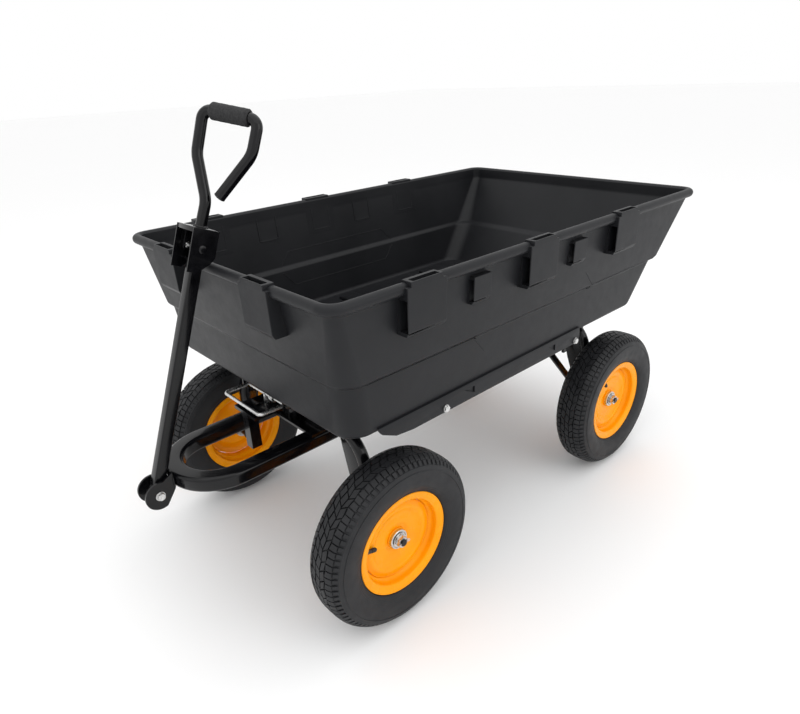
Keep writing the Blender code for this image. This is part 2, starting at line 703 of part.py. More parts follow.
def build_handle():
    top = YOKE_PLATE_S - GAP
    path = [on_bar(0.010, 0), on_bar(top, 0)]
    shell = sweep(path, rectangle(BAR_SIZE, BAR_SIZE, 0.003), Vector((1, 0, 0)),
                  rectangle(BAR_SIZE - 2 * BAR_WALL, BAR_SIZE - 2 * BAR_WALL, 0.002))
    half = CLEVIS_INNER_X - 0.0006
    sleeve = rod(PIVOT_POINT, "X", SLEEVE_R, -half, half, 16)
    bar = combine(shell, [sleeve])
    bar = cut(bar, [rod(PIVOT_POINT, "X", PIVOT_BOLT_R + BORE_GAP, -0.1, 0.1, 12)])
    add("pull_bar", bar, BLACK_PAINT, handle, 30)

    n = YOKE_BACK_N
    inner = YOKE_HALF_X - YOKE_T
    flanges = [bar_prism(yoke_outline(), side * inner, side * YOKE_HALF_X) for _, side in SIDES]
    web = bar_box(YOKE_WEB_S, YOKE_TOP_S, n - YOKE_T, n, -inner - 0.001, inner + 0.001)
    floor = bar_box(YOKE_PLATE_S, YOKE_PLATE_S + YOKE_T, -0.0125, 0.0135, -inner - 0.001, inner + 0.001)
    slope = [(YOKE_PLATE_S, 0.0130), (YOKE_PLATE_S + YOKE_T, 0.0130), (YOKE_WEB_S + YOKE_T, n - 0.002),
             (YOKE_WEB_S, n)]
    ledge = bar_prism(slope, -inner - 0.001, inner + 0.001)
    yoke = combine(web, [floor, ledge] + flanges)
    yoke = cut(yoke, [rod(GRIP_PIVOT, "X", YOKE_PIN_R + BORE_GAP, -0.1, 0.1, 12)])
    add("yoke", yoke, BLACK_PAINT, handle, 30)

    reach = YOKE_HALF_X + GAP
    shank = rod(GRIP_PIVOT, "X", YOKE_PIN_R, -reach - 0.0015, reach + 0.001, 12)
    head = rod(GRIP_PIVOT, "X", 0.0080, reach, reach + 0.0025, 12)
    nut_face = YOKE_HALF_X - YOKE_T - CHEEK_T - 0.001
    nut = rod(GRIP_PIVOT, "X", 0.0075, -nut_face, -nut_face + 0.0055, 6)
    add("yoke_pin", combine(shank, [head, nut]), ZINC, handle, 40)


def grip_loop_corners():
    """The hand loop's corners as (across, up) from the top of its foot."""
    return [(0.0, -0.004), (0.002, 0.052), (-0.0345, 0.135), (-0.036, 0.2175), (0.083, 0.2165),
            (0.082, 0.152), (0.030, 0.064)]


def build_grip():
    inner = YOKE_HALF_X - YOKE_T - 0.0005
    web_face = YOKE_BACK_N - YOKE_T - 0.0008
    cap = bar_box(YOKE_TOP_S - CAP_T, YOKE_TOP_S + 0.0005, -YOKE_FRONT_N + 0.0005, web_face, -inner, inner)
    low, high = YOKE_PIN_N - 0.009, YOKE_PIN_N + 0.009
    lug = bar_box(YOKE_PIN_S - 0.009, YOKE_TOP_S - 0.004, low, high, -inner, inner)
    hollow_top = YOKE_TOP_S - CAP_T + 0.002
    lug_hollow = bar_box(YOKE_PIN_S - 0.02, hollow_top, -0.05, 0.05, -inner + CHEEK_T, inner - CHEEK_T)
    foot = combine(cap, [cut(lug, [lug_hollow])])
    foot = cut(foot, [rod(GRIP_PIVOT, "X", YOKE_PIN_R + BORE_GAP, -0.1, 0.1, 12)])
    add("grip_foot", foot, BLACK_PAINT, grip, 30)

    base = on_bar(YOKE_TOP_S, 0.0)
    across = Vector((math.cos(GRIP_TWIST), 0, 0)) + BAR_BACK * math.sin(GRIP_TWIST)
    corners = [base + across * a + BAR_DIR * (b + 0.0005) for a, b in grip_loop_corners()]
    corners[0] = base + BAR_DIR * 0.0014
    path = fillet_path(corners, (0.060, 0.060, LOOP_BEND_R, LOOP_BEND_R, 0.055), 4)
    normal = across.cross(BAR_DIR)
    add("grip_tube", sweep(path, circle(GRIP_TUBE_R, 10), normal), BLACK_PAINT, grip, 50)

    start, end = corners[3], corners[4]
    run = (end - start).normalized()
    middle = (start + end) / 2
    ends = [middle - run * FOAM_LEN / 2, middle + run * FOAM_LEN / 2]
    foam = sweep(ends, circle(FOAM_R, 12), normal, circle(GRIP_TUBE_R + GAP + 0.0004, 12))
    add("grip_foam", foam, FOAM, grip, 50)


# ---- tub ------------------------------------------------------------------------------------
def rounded_ring(half_x, front, rear, radius, z, steps=5):
    points = []
    corners = ((half_x - radius, rear - radius, 0), (-half_x + radius, rear - radius, 90),
               (-half_x + radius, front + radius, 180), (half_x - radius, front + radius, 270))
    for x, y, start in corners:
        for k in range(steps + 1):
            angle = math.radians(start + 90 * k / steps)
            points.append((x + radius * math.cos(angle), y + radius * math.sin(angle), z))
    return points


def tub_levels():
    """Closed shell from the underside, up the outside, over the lip and down inside to the floor."""
    edge = (EDGE_HALF_X, EDGE_FRONT_Y, EDGE_REAR_Y, EDGE_CORNER_R)
    step = (STEP_HALF_X, STEP_FRONT_Y, STEP_REAR_Y, STEP_CORNER_R)
    upper = (STEP_HALF_X + STEP_SIDE, STEP_FRONT_Y - STEP_FRONT, STEP_REAR_Y + STEP_REAR, UPPER_CORNER_R)
    rim = (RIM_HALF_X, RIM_FRONT_Y, RIM_REAR_Y, RIM_CORNER_R)

    def ring(size, grow, z):
        return rounded_ring(size[0] + grow, size[1] - grow, size[2] + grow, size[3] + grow, z)

    outside = [ring(edge, -0.022, FLOOR_Z), ring(edge, -0.005, FLOOR_Z + 0.0015), ring(edge, 0, EDGE_Z),
               ring(step, 0, STEP_Z), ring(upper, 0, STEP_Z + STEP_H)]
    lip_r = LIP_R
    outside += [ring(rim, -0.006, LIP_Z - 0.004)]
    middle_z = RIM_TOP_Z - lip_r
    for degrees in (-60, -15, 30, 65, 95, 140):
        angle = math.radians(degrees)
        outside.append(ring(rim, lip_r * math.cos(angle), middle_z + lip_r * math.sin(angle)))
    inside = [ring(rim, -0.0102, LIP_Z - 0.004), ring(upper, -WALL, STEP_Z + STEP_H + 0.002),
              ring(step, -WALL, STEP_Z + 0.002), ring(edge, -WALL, EDGE_Z + 0.002),
              ring(edge, -WALL - 0.006, FLOOR_Z + WALL + 0.001), ring(edge, -WALL - 0.020, FLOOR_Z + WALL)]
    return outside + inside


def tub_shell():
    bm = bmesh.new()
    rings = [[bm.verts.new(p) for p in level] for level in tub_levels()]
    for low, high in zip(rings, rings[1:]):
        count = len(low)
        for k in range(count):
            n = (k + 1) % count
            bm.faces.new((low[k], low[n], high[n], high[k]))
    bm.faces.new(rings[0])
    bm.faces.new(rings[-1])
    return bm


def pocket_blocks():
    """Stake pockets under the lip: blocks outside the wall, with slots through them."""
    blocks, slots = [], []
    top = RIM_TOP_Z - 0.008
    half_w, half_slot = POCKET_W / 2, POCKET_SLOT_W / 2
    wall_grow = -0.0085
    reach = POCKET_OUT
    slot_out = POCKET_OUT - 0.003
    slot_in = slot_out - POCKET_SLOT_T

    def outline(sign, base):
        return [(sign * (base + wall_grow), top), (sign * (base + reach), top),
                (sign * (base + reach - 0.002), POCKET_BOTTOM_Z + 0.010),
                (sign * (base + reach - 0.008), POCKET_BOTTOM_Z),
                (sign * (base - 0.0165), POCKET_BOTTOM_Z)]

    for _, side in SIDES:
        for y in SIDE_POCKET_YS:
            blocks.append(prism(outline(side, RIM_HALF_X), half_w, "Y", y))
            slots.append(sided_box(side, RIM_HALF_X + slot_in, RIM_HALF_X + slot_out,
                                   y - half_slot, y + half_slot, 0.6, 0.9))
        x = side * FRONT_POCKET_X
        block = prism([(-q, z) for q, z in outline(1, -RIM_FRONT_Y)], half_w, "X", x)
        blocks.append(block)
        slots.append(box(x - half_slot, x + half_slot, RIM_FRONT_Y - slot_out, RIM_FRONT_Y - slot_in,
                         0.6, 0.9))
    return blocks, slots


def build_tub():
    blocks, slots = pocket_blocks()
    sills = [sided_box(side, EDGE_HALF_X - 0.0035, SILL_OUT_X, SILL_FRONT_Y, SILL_REAR_Y,
                       SILL_BOTTOM_Z, EDGE_Z + 0.007) for _, side in SIDES]
    shell = combine(tub_shell(), blocks + sills)
    holes = [rod((0, y, TUB_BOLT_Z), "X", TUB_BOLT_R + BORE_GAP, side * 0.340, side * 0.380, 10)
             for _, side in SIDES for y in TUB_BOLT_YS]
    add("tub", cut(shell, slots + holes), TUB_PLASTIC, tub_body, 30)

    corners = [(RING_X, RING_REAR_Y, RING_Z), (RING_X, RING_FRONT_Y, RING_Z), (-RING_X, RING_FRONT_Y, RING_Z),
               (-RING_X, RING_REAR_Y, RING_Z)]
    path = fillet_path(corners, (RING_BEND_R, RING_BEND_R), 6)
    add("tub_frame", sweep(path, circle(RING_R, 10), Vector((0, 0, 1)), circle(RING_BORE_R, 10)),
        BLACK_PAINT, tub_body, 50)

    low = RING_Z - RING_R + 0.001
    high = RING_Z + RING_R
    cross = box(-RING_X, RING_X, RING_REAR_Y + GAP, RING_REAR_Y + 0.025, low, high)
    arms = []
    for _, side in SIDES:
        x0, x1 = HINGE_ARM_X - HINGE_ARM_W / 2, HINGE_ARM_X + HINGE_ARM_W / 2
        arms.append(sided_box(side, x0, x1, RING_REAR_Y + 0.010, HINGE_Y + HINGE_EYE_R, RING_Z - 0.010, high))
        arms.append(sided_box(side, x0, x1, HINGE_Y - HINGE_EYE_R + 0.0001, HINGE_Y + HINGE_EYE_R - 0.0001,
                              HINGE_Z, high - 0.001))
        ends = sorted((side * x0, side * x1))
        arms.append(rod((0, HINGE_Y, HINGE_Z), "X", HINGE_EYE_R, ends[0], ends[1], 16))
    bores = [rod((0, HINGE_Y, HINGE_Z), "X", HINGE_PIN_R + BORE_GAP, -0.3, 0.3, 12)]
    add("tub_hinge_frame", cut(combine(cross, arms), bores), BLACK_PAINT, tub_body, 40)

    for name, side in SIDES:
        for place, y in zip(("front", "rear"), TUB_BOLT_YS):
            face = SILL_OUT_X + GAP
            tip = RING_X + RING_R + GAP
            ends = sorted((side * tip, side * (face + 0.001)))
            shank = rod((0, y, TUB_BOLT_Z), "X", TUB_BOLT_R, ends[0], ends[1], 10)
            ends = sorted((side * face, side * (face + 0.0055)))
            head = rod((0, y, TUB_BOLT_Z), "X", 0.0085, ends[0], ends[1], 10)
            add(f"tub_bolt_{place}_{name}", combine(shank, [head]), ZINC, tub_body, 40)


# ---- latch ----------------------------------------------------------------------------------
def build_latch():
    plate_low, plate_high = FLOOR_Z - 0.006, FLOOR_Z - 0.002
    back = RING_FRONT_Y - RING_R - GAP
    plate = box(-LATCH_EAR_X - 0.002, LATCH_EAR_X + 0.002, LATCH_Y - 0.010, back, plate_low, plate_high)
    ears = [sided_box(side, LATCH_EAR_X - 0.002, LATCH_EAR_X + 0.002, LATCH_Y - 0.010, back,
                      LATCH_Z - 0.008, plate_high) for _, side in SIDES]
    bores = [rod((0, LATCH_Y, LATCH_Z), "X", LATCH_ROD_R + BORE_GAP, -0.1, 0.1, 10)]
    add("latch_bracket", cut(combine(plate, ears), bores), BLACK_PAINT, tub_body)

    out = LATCH_EAR_X + 0.006
    corners = [(out, LATCH_Y, LATCH_Z), (LATCH_HALF_X, LATCH_Y, LATCH_Z),
               (LATCH_HALF_X, LATCH_FRONT_Y, LATCH_Z), (-LATCH_HALF_X, LATCH_FRONT_Y, LATCH_Z),
               (-LATCH_HALF_X, LATCH_Y, LATCH_Z), (-out, LATCH_Y, LATCH_Z)]
    path = fillet_path(corners, (0.006, 0.010, 0.010, 0.006), 4)
    wire = sweep(path, circle(LATCH_ROD_R, 8), Vector((0, 0, 1)))
    reach = LATCH_HALF_X - 0.001
    cross = rod((0, LATCH_Y, LATCH_Z), "X", LATCH_ROD_R * 0.9, -reach, reach, 8)
    y, z = LATCH_Y, LATCH_Z
    nose_top = RAIL_BOTTOM_Z - 0.0015           # the hook's nose sits just under the slotted plate
    nose_low = nose_top - 0.011
    outline = [(y - 0.006, z + 0.002), (y - 0.006, nose_low), (y + 0.0115, nose_low), (y + 0.0115, nose_top),
               (y + 0.006, nose_top + 0.0005), (y + 0.006, z + 0.002)]
    hook = prism(outline, 0.003, "X")
    add("latch_loop", combine(wire, [cross, hook]), ZINC, latch, 50)

    turns, per_turn = 4, 8
    pitch, radius, wire_r = 0.0034, 0.0072, 0.0012
    points = []
    for k in range(turns * per_turn + 1):
        angle = 2 * math.pi * k / per_turn
        points.append(Vector((0.022 + pitch * k / per_turn, LATCH_Y + radius * math.cos(angle),
                              LATCH_Z + radius * math.sin(angle))))
    add("latch_spring", sweep(points, circle(wire_r, 5), Vector((1, 0, 0))), ZINC, tub_body, 50)


build_chassis()
build_steering()
build_handle()
build_grip()
build_tub()
build_latch()
for side_label, side_sign in SIDES:
    wheel("front", side_label, side_sign, FRONT_AXLE_Y, steering, math.radians(165))
    wheel("rear", side_label, side_sign, REAR_AXLE_Y, chassis, math.radians(125))
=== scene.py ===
"""The garden cart's looks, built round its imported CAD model.

Shapes are drawn in the same drawing coordinates as the CAD, with ground at z = 0 and the front
towards -Y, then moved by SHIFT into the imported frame. Metres throughout.
"""
from math import cos, pi, radians, sin, tan

import bmesh
import bpy
from mathutils import Matrix, Vector


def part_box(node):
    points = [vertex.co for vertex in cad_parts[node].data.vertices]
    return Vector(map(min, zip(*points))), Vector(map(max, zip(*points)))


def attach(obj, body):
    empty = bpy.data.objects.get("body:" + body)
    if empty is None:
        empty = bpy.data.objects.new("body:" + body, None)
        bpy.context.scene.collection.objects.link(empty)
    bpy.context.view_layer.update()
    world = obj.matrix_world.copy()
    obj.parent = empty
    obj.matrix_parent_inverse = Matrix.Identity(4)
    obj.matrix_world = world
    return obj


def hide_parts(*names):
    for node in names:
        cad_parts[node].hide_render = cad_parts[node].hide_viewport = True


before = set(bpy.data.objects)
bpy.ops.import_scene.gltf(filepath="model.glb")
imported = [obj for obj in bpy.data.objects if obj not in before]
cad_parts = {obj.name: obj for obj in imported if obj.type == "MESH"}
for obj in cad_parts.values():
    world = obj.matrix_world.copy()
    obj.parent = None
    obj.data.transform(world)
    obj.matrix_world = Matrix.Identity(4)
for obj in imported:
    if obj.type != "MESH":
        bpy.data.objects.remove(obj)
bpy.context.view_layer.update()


def centre(node):
    low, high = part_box(node)
    return (Vector(low) + Vector(high)) / 2


def edge(node, axis, high=True):
    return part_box(node)[1 if high else 0][axis]


X_AXIS, Y_AXIS, Z_AXIS = Vector((1, 0, 0)), Vector((0, 1, 0)), Vector((0, 0, 1))

# ---- driving sizes: from the frame, and the drawing's own ----
FRONT_AXLE_Y = -0.473
SHIFT = centre("front_left_tyre").y - FRONT_AXLE_Y
REAR_AXLE_Y = centre("rear_left_tyre").y - SHIFT
TRACK_HALF = centre("front_left_tyre").x
TYRE_R = centre("front_left_tyre").z

RIM_HALF_X = 0.3987               # middle of the tub's rolled lip
RIM_FRONT_Y = -0.6255
RIM_REAR_Y = 0.6372
LIP_R = 0.0113
RIM_TOP_Z = 0.782
FLOOR_Z = 0.482
WALL = 0.004
STEP_Z = 0.600
WALL_TOP_Z = 0.754
WALL_INSET = 0.0062               # from the lip's middle in to the wall's outer face
EDGE = (0.358, -0.579, 0.458, 0.052)     # half width, front, rear and corner radius of each level
STEP = (0.366, -0.590, 0.532, 0.050)
UPPER = (0.376, -0.598, 0.548, 0.045)
RIM = (RIM_HALF_X, RIM_FRONT_Y, RIM_REAR_Y, 0.031)
POCKET_OUT = 0.0185
POCKET_W = 0.098
POCKET_BOTTOM_Z = 0.683
SLOT_W = 0.066
SLOT_T = 0.015
SIDE_POCKET_YS = (-0.425, -0.078, 0.262)
FRONT_POCKET_X = 0.190
HOOD_YS = (-0.262, 0.078)

ARCH_TOP_Z = edge("rear_axle_arch", 2)
ARCH_R = 0.014
LEG_X = 0.258
LEG_BOTTOM_Z = 0.172
LEG_BEND_R = 0.080
LOOP_TOP_Z = 0.368
LOOP_H = 0.0344
LOOP_T = 0.0407
LOOP_HALF_W = 0.1174
LOOP_CENTRE_Y = -0.679
PIVOT = Vector((0, -0.830, 0.332))
BAR_ANGLE = radians(21.0)
BAR_DIR = Vector((0, sin(BAR_ANGLE), cos(BAR_ANGLE)))
BAR_BACK = Vector((0, cos(BAR_ANGLE), -sin(BAR_ANGLE)))
YOKE_TOP_S = 0.557
YOKE_PLATE_S = 0.492
YOKE_HALF_X = 0.0365
YOKE_FRONT_N = 0.031
YOKE_BACK_N = 0.022
YOKE_WEB_S = 0.505
YOKE_T = 0.003
GRIP_TWIST = radians(30.0)
GRIP_TUBE_R = 0.011
FOAM_R = 0.0165
RING_X = 0.338
RING_Z = 0.4665
RING_FRONT_Y = -0.505
RING_REAR_Y = 0.168
LATCH = Vector((0, -0.545, 0.452))
LATCH_FRONT_Y = -0.608
LATCH_HALF_X = 0.077
SIDES = (("left", 1), ("right", -1))


# ---- materials ----
class Nodes:
    """A material's node tree, with short calls to add and join nodes."""

    def __init__(self, name):
        self.material = bpy.data.materials.new(f"look_{name}")
        self.material.use_nodes = True
        self.tree = self.material.node_tree
        self.shader = self.tree.nodes["Principled BSDF"]
        self.position = self.add("ShaderNodeTexCoord").outputs["Object"]

    def add(self, kind, **values):
        node = self.tree.nodes.new(kind)
        for key, value in values.items():
            setattr(node, key, value)
        return node

    def join(self, source, target):
        self.tree.links.new(source, target)

    def noise(self, scale, detail=3.0, roughness=0.5):
        node = self.add("ShaderNodeTexNoise")
        node.inputs["Scale"].default_value = scale
        node.inputs["Detail"].default_value = detail
        node.inputs["Roughness"].default_value = roughness
        self.join(self.position, node.inputs["Vector"])
        return node.outputs["Fac"]

    def cells(self, scale, feature="F1"):
        node = self.add("ShaderNodeTexVoronoi", feature=feature)
        node.inputs["Scale"].default_value = scale
        self.join(self.position, node.inputs["Vector"])
        return node.outputs["Distance"]

    def math(self, operation, first, second):
        node = self.add("ShaderNodeMath", operation=operation)
        for socket, value in zip(node.inputs, (first, second)):
            if isinstance(value, (int, float)):
                socket.default_value = value
            else:
                self.join(value, socket)
        return node.outputs[0]

    def remap(self, source, low, high, start=0.3, end=0.7):
        node = self.add("ShaderNodeMapRange")
        node.inputs["From Min"].default_value = start
        node.inputs["From Max"].default_value = end
        node.inputs["To Min"].default_value = low
        node.inputs["To Max"].default_value = high
        self.join(source, node.inputs["Value"])
        return node.outputs["Result"]

    def mix(self, factor, first, second):
        node = self.add("ShaderNodeMix", data_type="RGBA")
        self.join(factor, node.inputs["Factor"])
        for key, value in ((6, first), (7, second)):
            if isinstance(value, tuple):
                node.inputs[key].default_value = (*value, 1.0)
            else:
                self.join(value, node.inputs[key])
        return node.outputs[2]

    def colour(self, source):
        self.join(source, self.shader.inputs["Base Color"])

    def roughness(self, source):
        self.join(source, self.shader.inputs["Roughness"])

    def mottle(self, scale, first, second, detail=3.0):
        self.colour(self.mix(self.remap(self.noise(scale, detail), 0.0, 1.0), first, second))

    def gloss(self, scale, low, high, detail=3.0):
        self.roughness(self.remap(self.noise(scale, detail), low, high))

    def bump(self, heights):
        """Stacks (height, strength, distance) bumps."""
        normal = None
        for height, strength, distance in heights:
            node = self.add("ShaderNodeBump")
            node.inputs["Strength"].default_value = strength
            node.inputs["Distance"].default_value = distance
            self.join(height, node.inputs["Height"])
            if normal is not None:
                self.join(normal, node.inputs["Normal"])
            normal = node.outputs["Normal"]
        self.join(normal, self.shader.inputs["Normal"])


def tub_plastic():
    n = Nodes("tub_plastic")
    large = n.noise(5.0, 4.0)
    fine = n.noise(420.0, 2.0)
    n.colour(n.mix(n.remap(large, 0.0, 1.0), (0.0085, 0.009, 0.0105), (0.014, 0.0145, 0.0165)))
    scuffs = n.noise(38.0, 6.0, 0.7)
    n.roughness(n.math("ADD", n.remap(large, 0.40, 0.47), n.remap(scuffs, -0.03, 0.06)))
    n.shader.inputs["Specular IOR Level"].default_value = 0.22
    n.bump([(fine, 0.25, 0.00025), (n.cells(900.0), 0.12, 0.00015), (n.noise(9.0, 2.0), 0.18, 0.0015)])
    return n.material


def black_paint():
    n = Nodes("black_paint")
    n.mottle(60.0, (0.0015, 0.0015, 0.002), (0.0035, 0.0035, 0.0045))
    n.gloss(30.0, 0.16, 0.27, 4.0)
    n.shader.inputs["Specular IOR Level"].default_value = 0.2
    n.shader.inputs["Coat Weight"].default_value = 0.22
    n.shader.inputs["Coat Roughness"].default_value = 0.08
    n.bump([(n.noise(330.0, 1.0), 0.12, 0.0004)])
    return n.material


def zinc_plate():
    n = Nodes("zinc_plate")
    n.mottle(160.0, (0.50, 0.50, 0.50), (0.72, 0.72, 0.71))
    n.gloss(240.0, 0.20, 0.38, 4.0)
    n.shader.inputs["Metallic"].default_value = 1.0
    n.bump([(n.noise(600.0, 2.0), 0.15, 0.0002)])
    return n.material


def rim_paint():
    n = Nodes("rim_paint")
    n.mottle(14.0, (0.92, 0.32, 0.001), (0.98, 0.36, 0.002))
    n.gloss(25.0, 0.22, 0.32, 4.0)
    n.shader.inputs["Specular IOR Level"].default_value = 0.12
    n.shader.inputs["Coat Weight"].default_value = 0.08
    n.shader.inputs["Coat Roughness"].default_value = 0.06
    n.bump([(n.noise(260.0, 1.0), 0.10, 0.0004)])
    return n.material


def tyre_rubber():
    """Rubber with fine rings on the sidewall, worked out from the distance to the axle."""
    n = Nodes("tyre")
    split = n.add("ShaderNodeSeparateXYZ")
    n.join(n.position, split.inputs[0])
    square = n.math("ADD", n.math("MULTIPLY", split.outputs[1], split.outputs[1]),
                    n.math("MULTIPLY", split.outputs[2], split.outputs[2]))
    radius = n.math("SQRT", square, 0.0)
    rings = n.math("SINE", n.math("MULTIPLY", radius, 2 * pi / 0.0042), 0.0)
    near_rim = n.remap(radius, 1.0, 0.0, 0.132, 0.140)
    near_tread = n.remap(radius, 0.0, 1.0, 0.168, 0.172)
    zone = n.math("ADD", near_rim, n.math("MULTIPLY", near_tread, 0.45))
    n.mottle(24.0, (0.010, 0.0105, 0.0120), (0.017, 0.0175, 0.0195), 5.0)
    n.gloss(45.0, 0.46, 0.60, 5.0)
    n.shader.inputs["Specular IOR Level"].default_value = 0.3
    n.bump([(n.math("MULTIPLY", rings, zone), 0.35, 0.0006), (n.noise(700.0), 0.2, 0.0002)])
    return n.material


def plain_rubber():
    n = Nodes("rubber")
    n.mottle(200.0, (0.010, 0.010, 0.010), (0.022, 0.022, 0.022))
    n.gloss(90.0, 0.45, 0.60)
    n.bump([(n.noise(900.0), 0.2, 0.0002)])
    return n.material


def grip_foam():
    n = Nodes("grip_foam")
    n.mottle(300.0, (0.010, 0.010, 0.011), (0.026, 0.026, 0.027))
    n.gloss(120.0, 0.78, 0.92)
    n.bump([(n.cells(650.0), 0.55, 0.0006), (n.noise(90.0, 3.0), 0.25, 0.0010)])
    return n.material


PLASTIC = tub_plastic()
PAINT = black_paint()
ZINC = zinc_plate()
RIM_PAINT = rim_paint()
TYRE = tyre_rubber()
RUBBER = plain_rubber()
FOAM = grip_foam()


# ---- shape tools ----
def piece(name, bm, mat, body, nodes=(), sharp=35.0, bevel=0.0, location=None):
    """Makes a visible piece, in drawing coordinates unless location is set, and rides it on its body."""
    bmesh.ops.recalc_face_normals(bm, faces=bm.faces)
    if location is None:
        bmesh.ops.translate(bm, verts=bm.verts, vec=(0, SHIFT, 0))
    mesh = bpy.data.meshes.new(name)
    bm.to_mesh(mesh)
    bm.free()
    mesh.materials.append(mat)
    return show(name, mesh, body, nodes, sharp, bevel, location)


def show(name, mesh, body, nodes=(), sharp=35.0, bevel=0.0, location=None):
    mesh.shade_smooth()
    mesh.set_sharp_from_angle(angle=radians(sharp))
    obj = bpy.data.objects.new(name, mesh)
    bpy.context.collection.objects.link(obj)
    if location is not None:
        obj.location = location + Vector((0, SHIFT, 0))
    if bevel:
        soften(obj, bevel)
    bpy.context.view_layer.update()
    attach(obj, body)
    if nodes:
        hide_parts(*nodes)
    return obj


def soften(obj, width):
    modifier = obj.modifiers.new("edges", "BEVEL")
    modifier.width = width
    modifier.segments = 2
    modifier.limit_method = "ANGLE"
    modifier.angle_limit = radians(38)
    modifier.use_clamp_overlap = True


def join(*parts):
    """One bmesh from several."""
    whole = bmesh.new()
    for bm in parts:
        mesh = bpy.data.meshes.new("part")
        bmesh.ops.recalc_face_normals(bm, faces=bm.faces)
        bm.to_mesh(mesh)
        bm.free()
        whole.from_mesh(mesh)
        bpy.data.meshes.remove(mesh)
    return whole


def box(x0, x1, y0, y1, z0, z1):
    bm = bmesh.new()
    size = Matrix.Diagonal((abs(x1 - x0), abs(y1 - y0), abs(z1 - z0), 1))
    middle = Matrix.Translation(((x0 + x1) / 2, (y0 + y1) / 2, (z0 + z1) / 2))
    bmesh.ops.create_cube(bm, size=1.0, matrix=middle @ size)
    return bm


def soft_box(x0, x1, y0, y1, z0, z1, radius=0.002):
    bm = box(x0, x1, y0, y1, z0, z1)
    round_edges(bm, radius)
    return bm


def bridge(bm, rings, closed=False, caps=False):
    """Skins each ring to the next with quads; closed joins the last to the first."""
    for low, high in zip(rings, rings[1:] + (rings[:1] if closed else [])):
        size = len(low)
        for k in range(size):
            n = (k + 1) % size
            bm.faces.new((low[k], low[n], high[n], high[k]))
    if caps:
        bm.faces.new(rings[0])
        bm.faces.new(rings[-1])


def round_edges(bm, offset):
    bmesh.ops.bevel(bm, geom=bm.edges[:], offset=offset, segments=2, profile=0.5, affect="EDGES")


def prism(points, half, axis="X", middle=0.0):
    bm = bmesh.new()
    rings = []
    for end in (middle - half, middle + half):
        if axis == "X":
            rings.append([bm.verts.new((end, p[0], p[1])) for p in points])
        else:
            rings.append([bm.verts.new((p[0], end, p[1])) for p in points])
    bridge(bm, rings, caps=True)
    return bm


def circle(radius, count, phase=0.0):
    step = 2 * pi / count
    return [(radius * cos(phase + k * step), radius * sin(phase + k * step)) for k in range(count)]


def rounded_rectangle(width, height, corner, steps=4):
    points = []
    for sx, sy, start in ((1, 1, 0), (-1, 1, 90), (-1, -1, 180), (1, -1, 270)):
        for k in range(steps + 1):
            angle = radians(start + 90 * k / steps)
            points.append((sx * (width / 2 - corner) + corner * cos(angle),
                           sy * (height / 2 - corner) + corner * sin(angle)))
    return points


def turned(profile, base, axis, count=32, closed=False):
    """Turns an outline of (distance along axis, radius) about an axis through base."""
    axis = Vector(axis).normalized()
    side = axis.orthogonal().normalized()
    other = axis.cross(side)
    bm = bmesh.new()
    rings = []
    for along, radius in profile:
        ring = []
        for a, b in circle(radius, count):
            ring.append(bm.verts.new(Vector(base) + axis * along + side * a + other * b))
        rings.append(ring)
    bridge(bm, rings, closed, not closed)
    return bm


def shaft(base, axis, radius, start, end, count=32, chamfer=0.0008):
    profile = [(start, radius - chamfer), (start + chamfer, radius), (end - chamfer, radius), (end, radius - chamfer)]
    return turned(profile, base, axis, count)


def fillet_path(corners, radii, steps=12):
    path = [Vector(corners[0])]
    for before, here, after, radius in zip(corners, corners[1:], corners[2:], radii):
        here = Vector(here)
        back = (Vector(before) - here).normalized()
        on = (Vector(after) - here).normalized()
        half = back.angle(on) / 2
        reach = radius / tan(half)
        middle = here + (back + on).normalized() * (radius / sin(half))
        first = here + back * reach - middle
        last = here + on * reach - middle
        for k in range(steps + 1):
            path.append(middle + first.slerp(last, k / steps).normalized() * radius)
    path.append(Vector(corners[-1]))
    return path


def sweep(path, section, up, inner=None):
    """Carries a section along a path. With an inner section the ends are open like a cut tube."""
    bm = bmesh.new()
    skins = []
    for shape in [section] + ([inner] if inner else []):
        rings = []
        for k, point in enumerate(path):
            before = path[max(k - 1, 0)]
            after = path[min(k + 1, len(path) - 1)]
            run = (after - before).normalized()
            side = run.cross(up).normalized()
            top = side.cross(run).normalized()
            rings.append([bm.verts.new(point + side * a + top * b) for a, b in shape])
        bridge(bm, rings)
        skins.append(rings)
    for end in (0, -1):
        if inner:
            size = len(section)
            for j in range(size):
                i = (j + 1) % size
                bm.faces.new((skins[0][end][j], skins[0][end][i], skins[1][end][i], skins[1][end][j]))
        else:
            bm.faces.new(skins[0][end])
    return bm


def combine(first, others, operation="UNION"):
    temp = []
    for bm in [first] + others:
        bmesh.ops.recalc_face_normals(bm, faces=bm.faces)
        mesh = bpy.data.meshes.new("cutter")
        bm.to_mesh(mesh)
        bm.free()
        obj = bpy.data.objects.new("cutter", mesh)
        bpy.context.collection.objects.link(obj)
        temp.append(obj)
    base = temp[0]
    for obj in temp[1:]:
        modifier = base.modifiers.new("bool", "BOOLEAN")
        modifier.operation = operation
        modifier.solver = "EXACT"
        modifier.object = obj
    bpy.context.view_layer.update()
    evaluated = base.evaluated_get(bpy.context.evaluated_depsgraph_get())
    result = bmesh.new()
    result.from_mesh(evaluated.to_mesh())
    evaluated.to_mesh_clear()
    for obj in temp:
        mesh = obj.data
        bpy.data.objects.remove(obj, do_unlink=True)
        bpy.data.meshes.remove(mesh)
    bmesh.ops.remove_doubles(result, verts=result.verts, dist=1e-6)
    return result


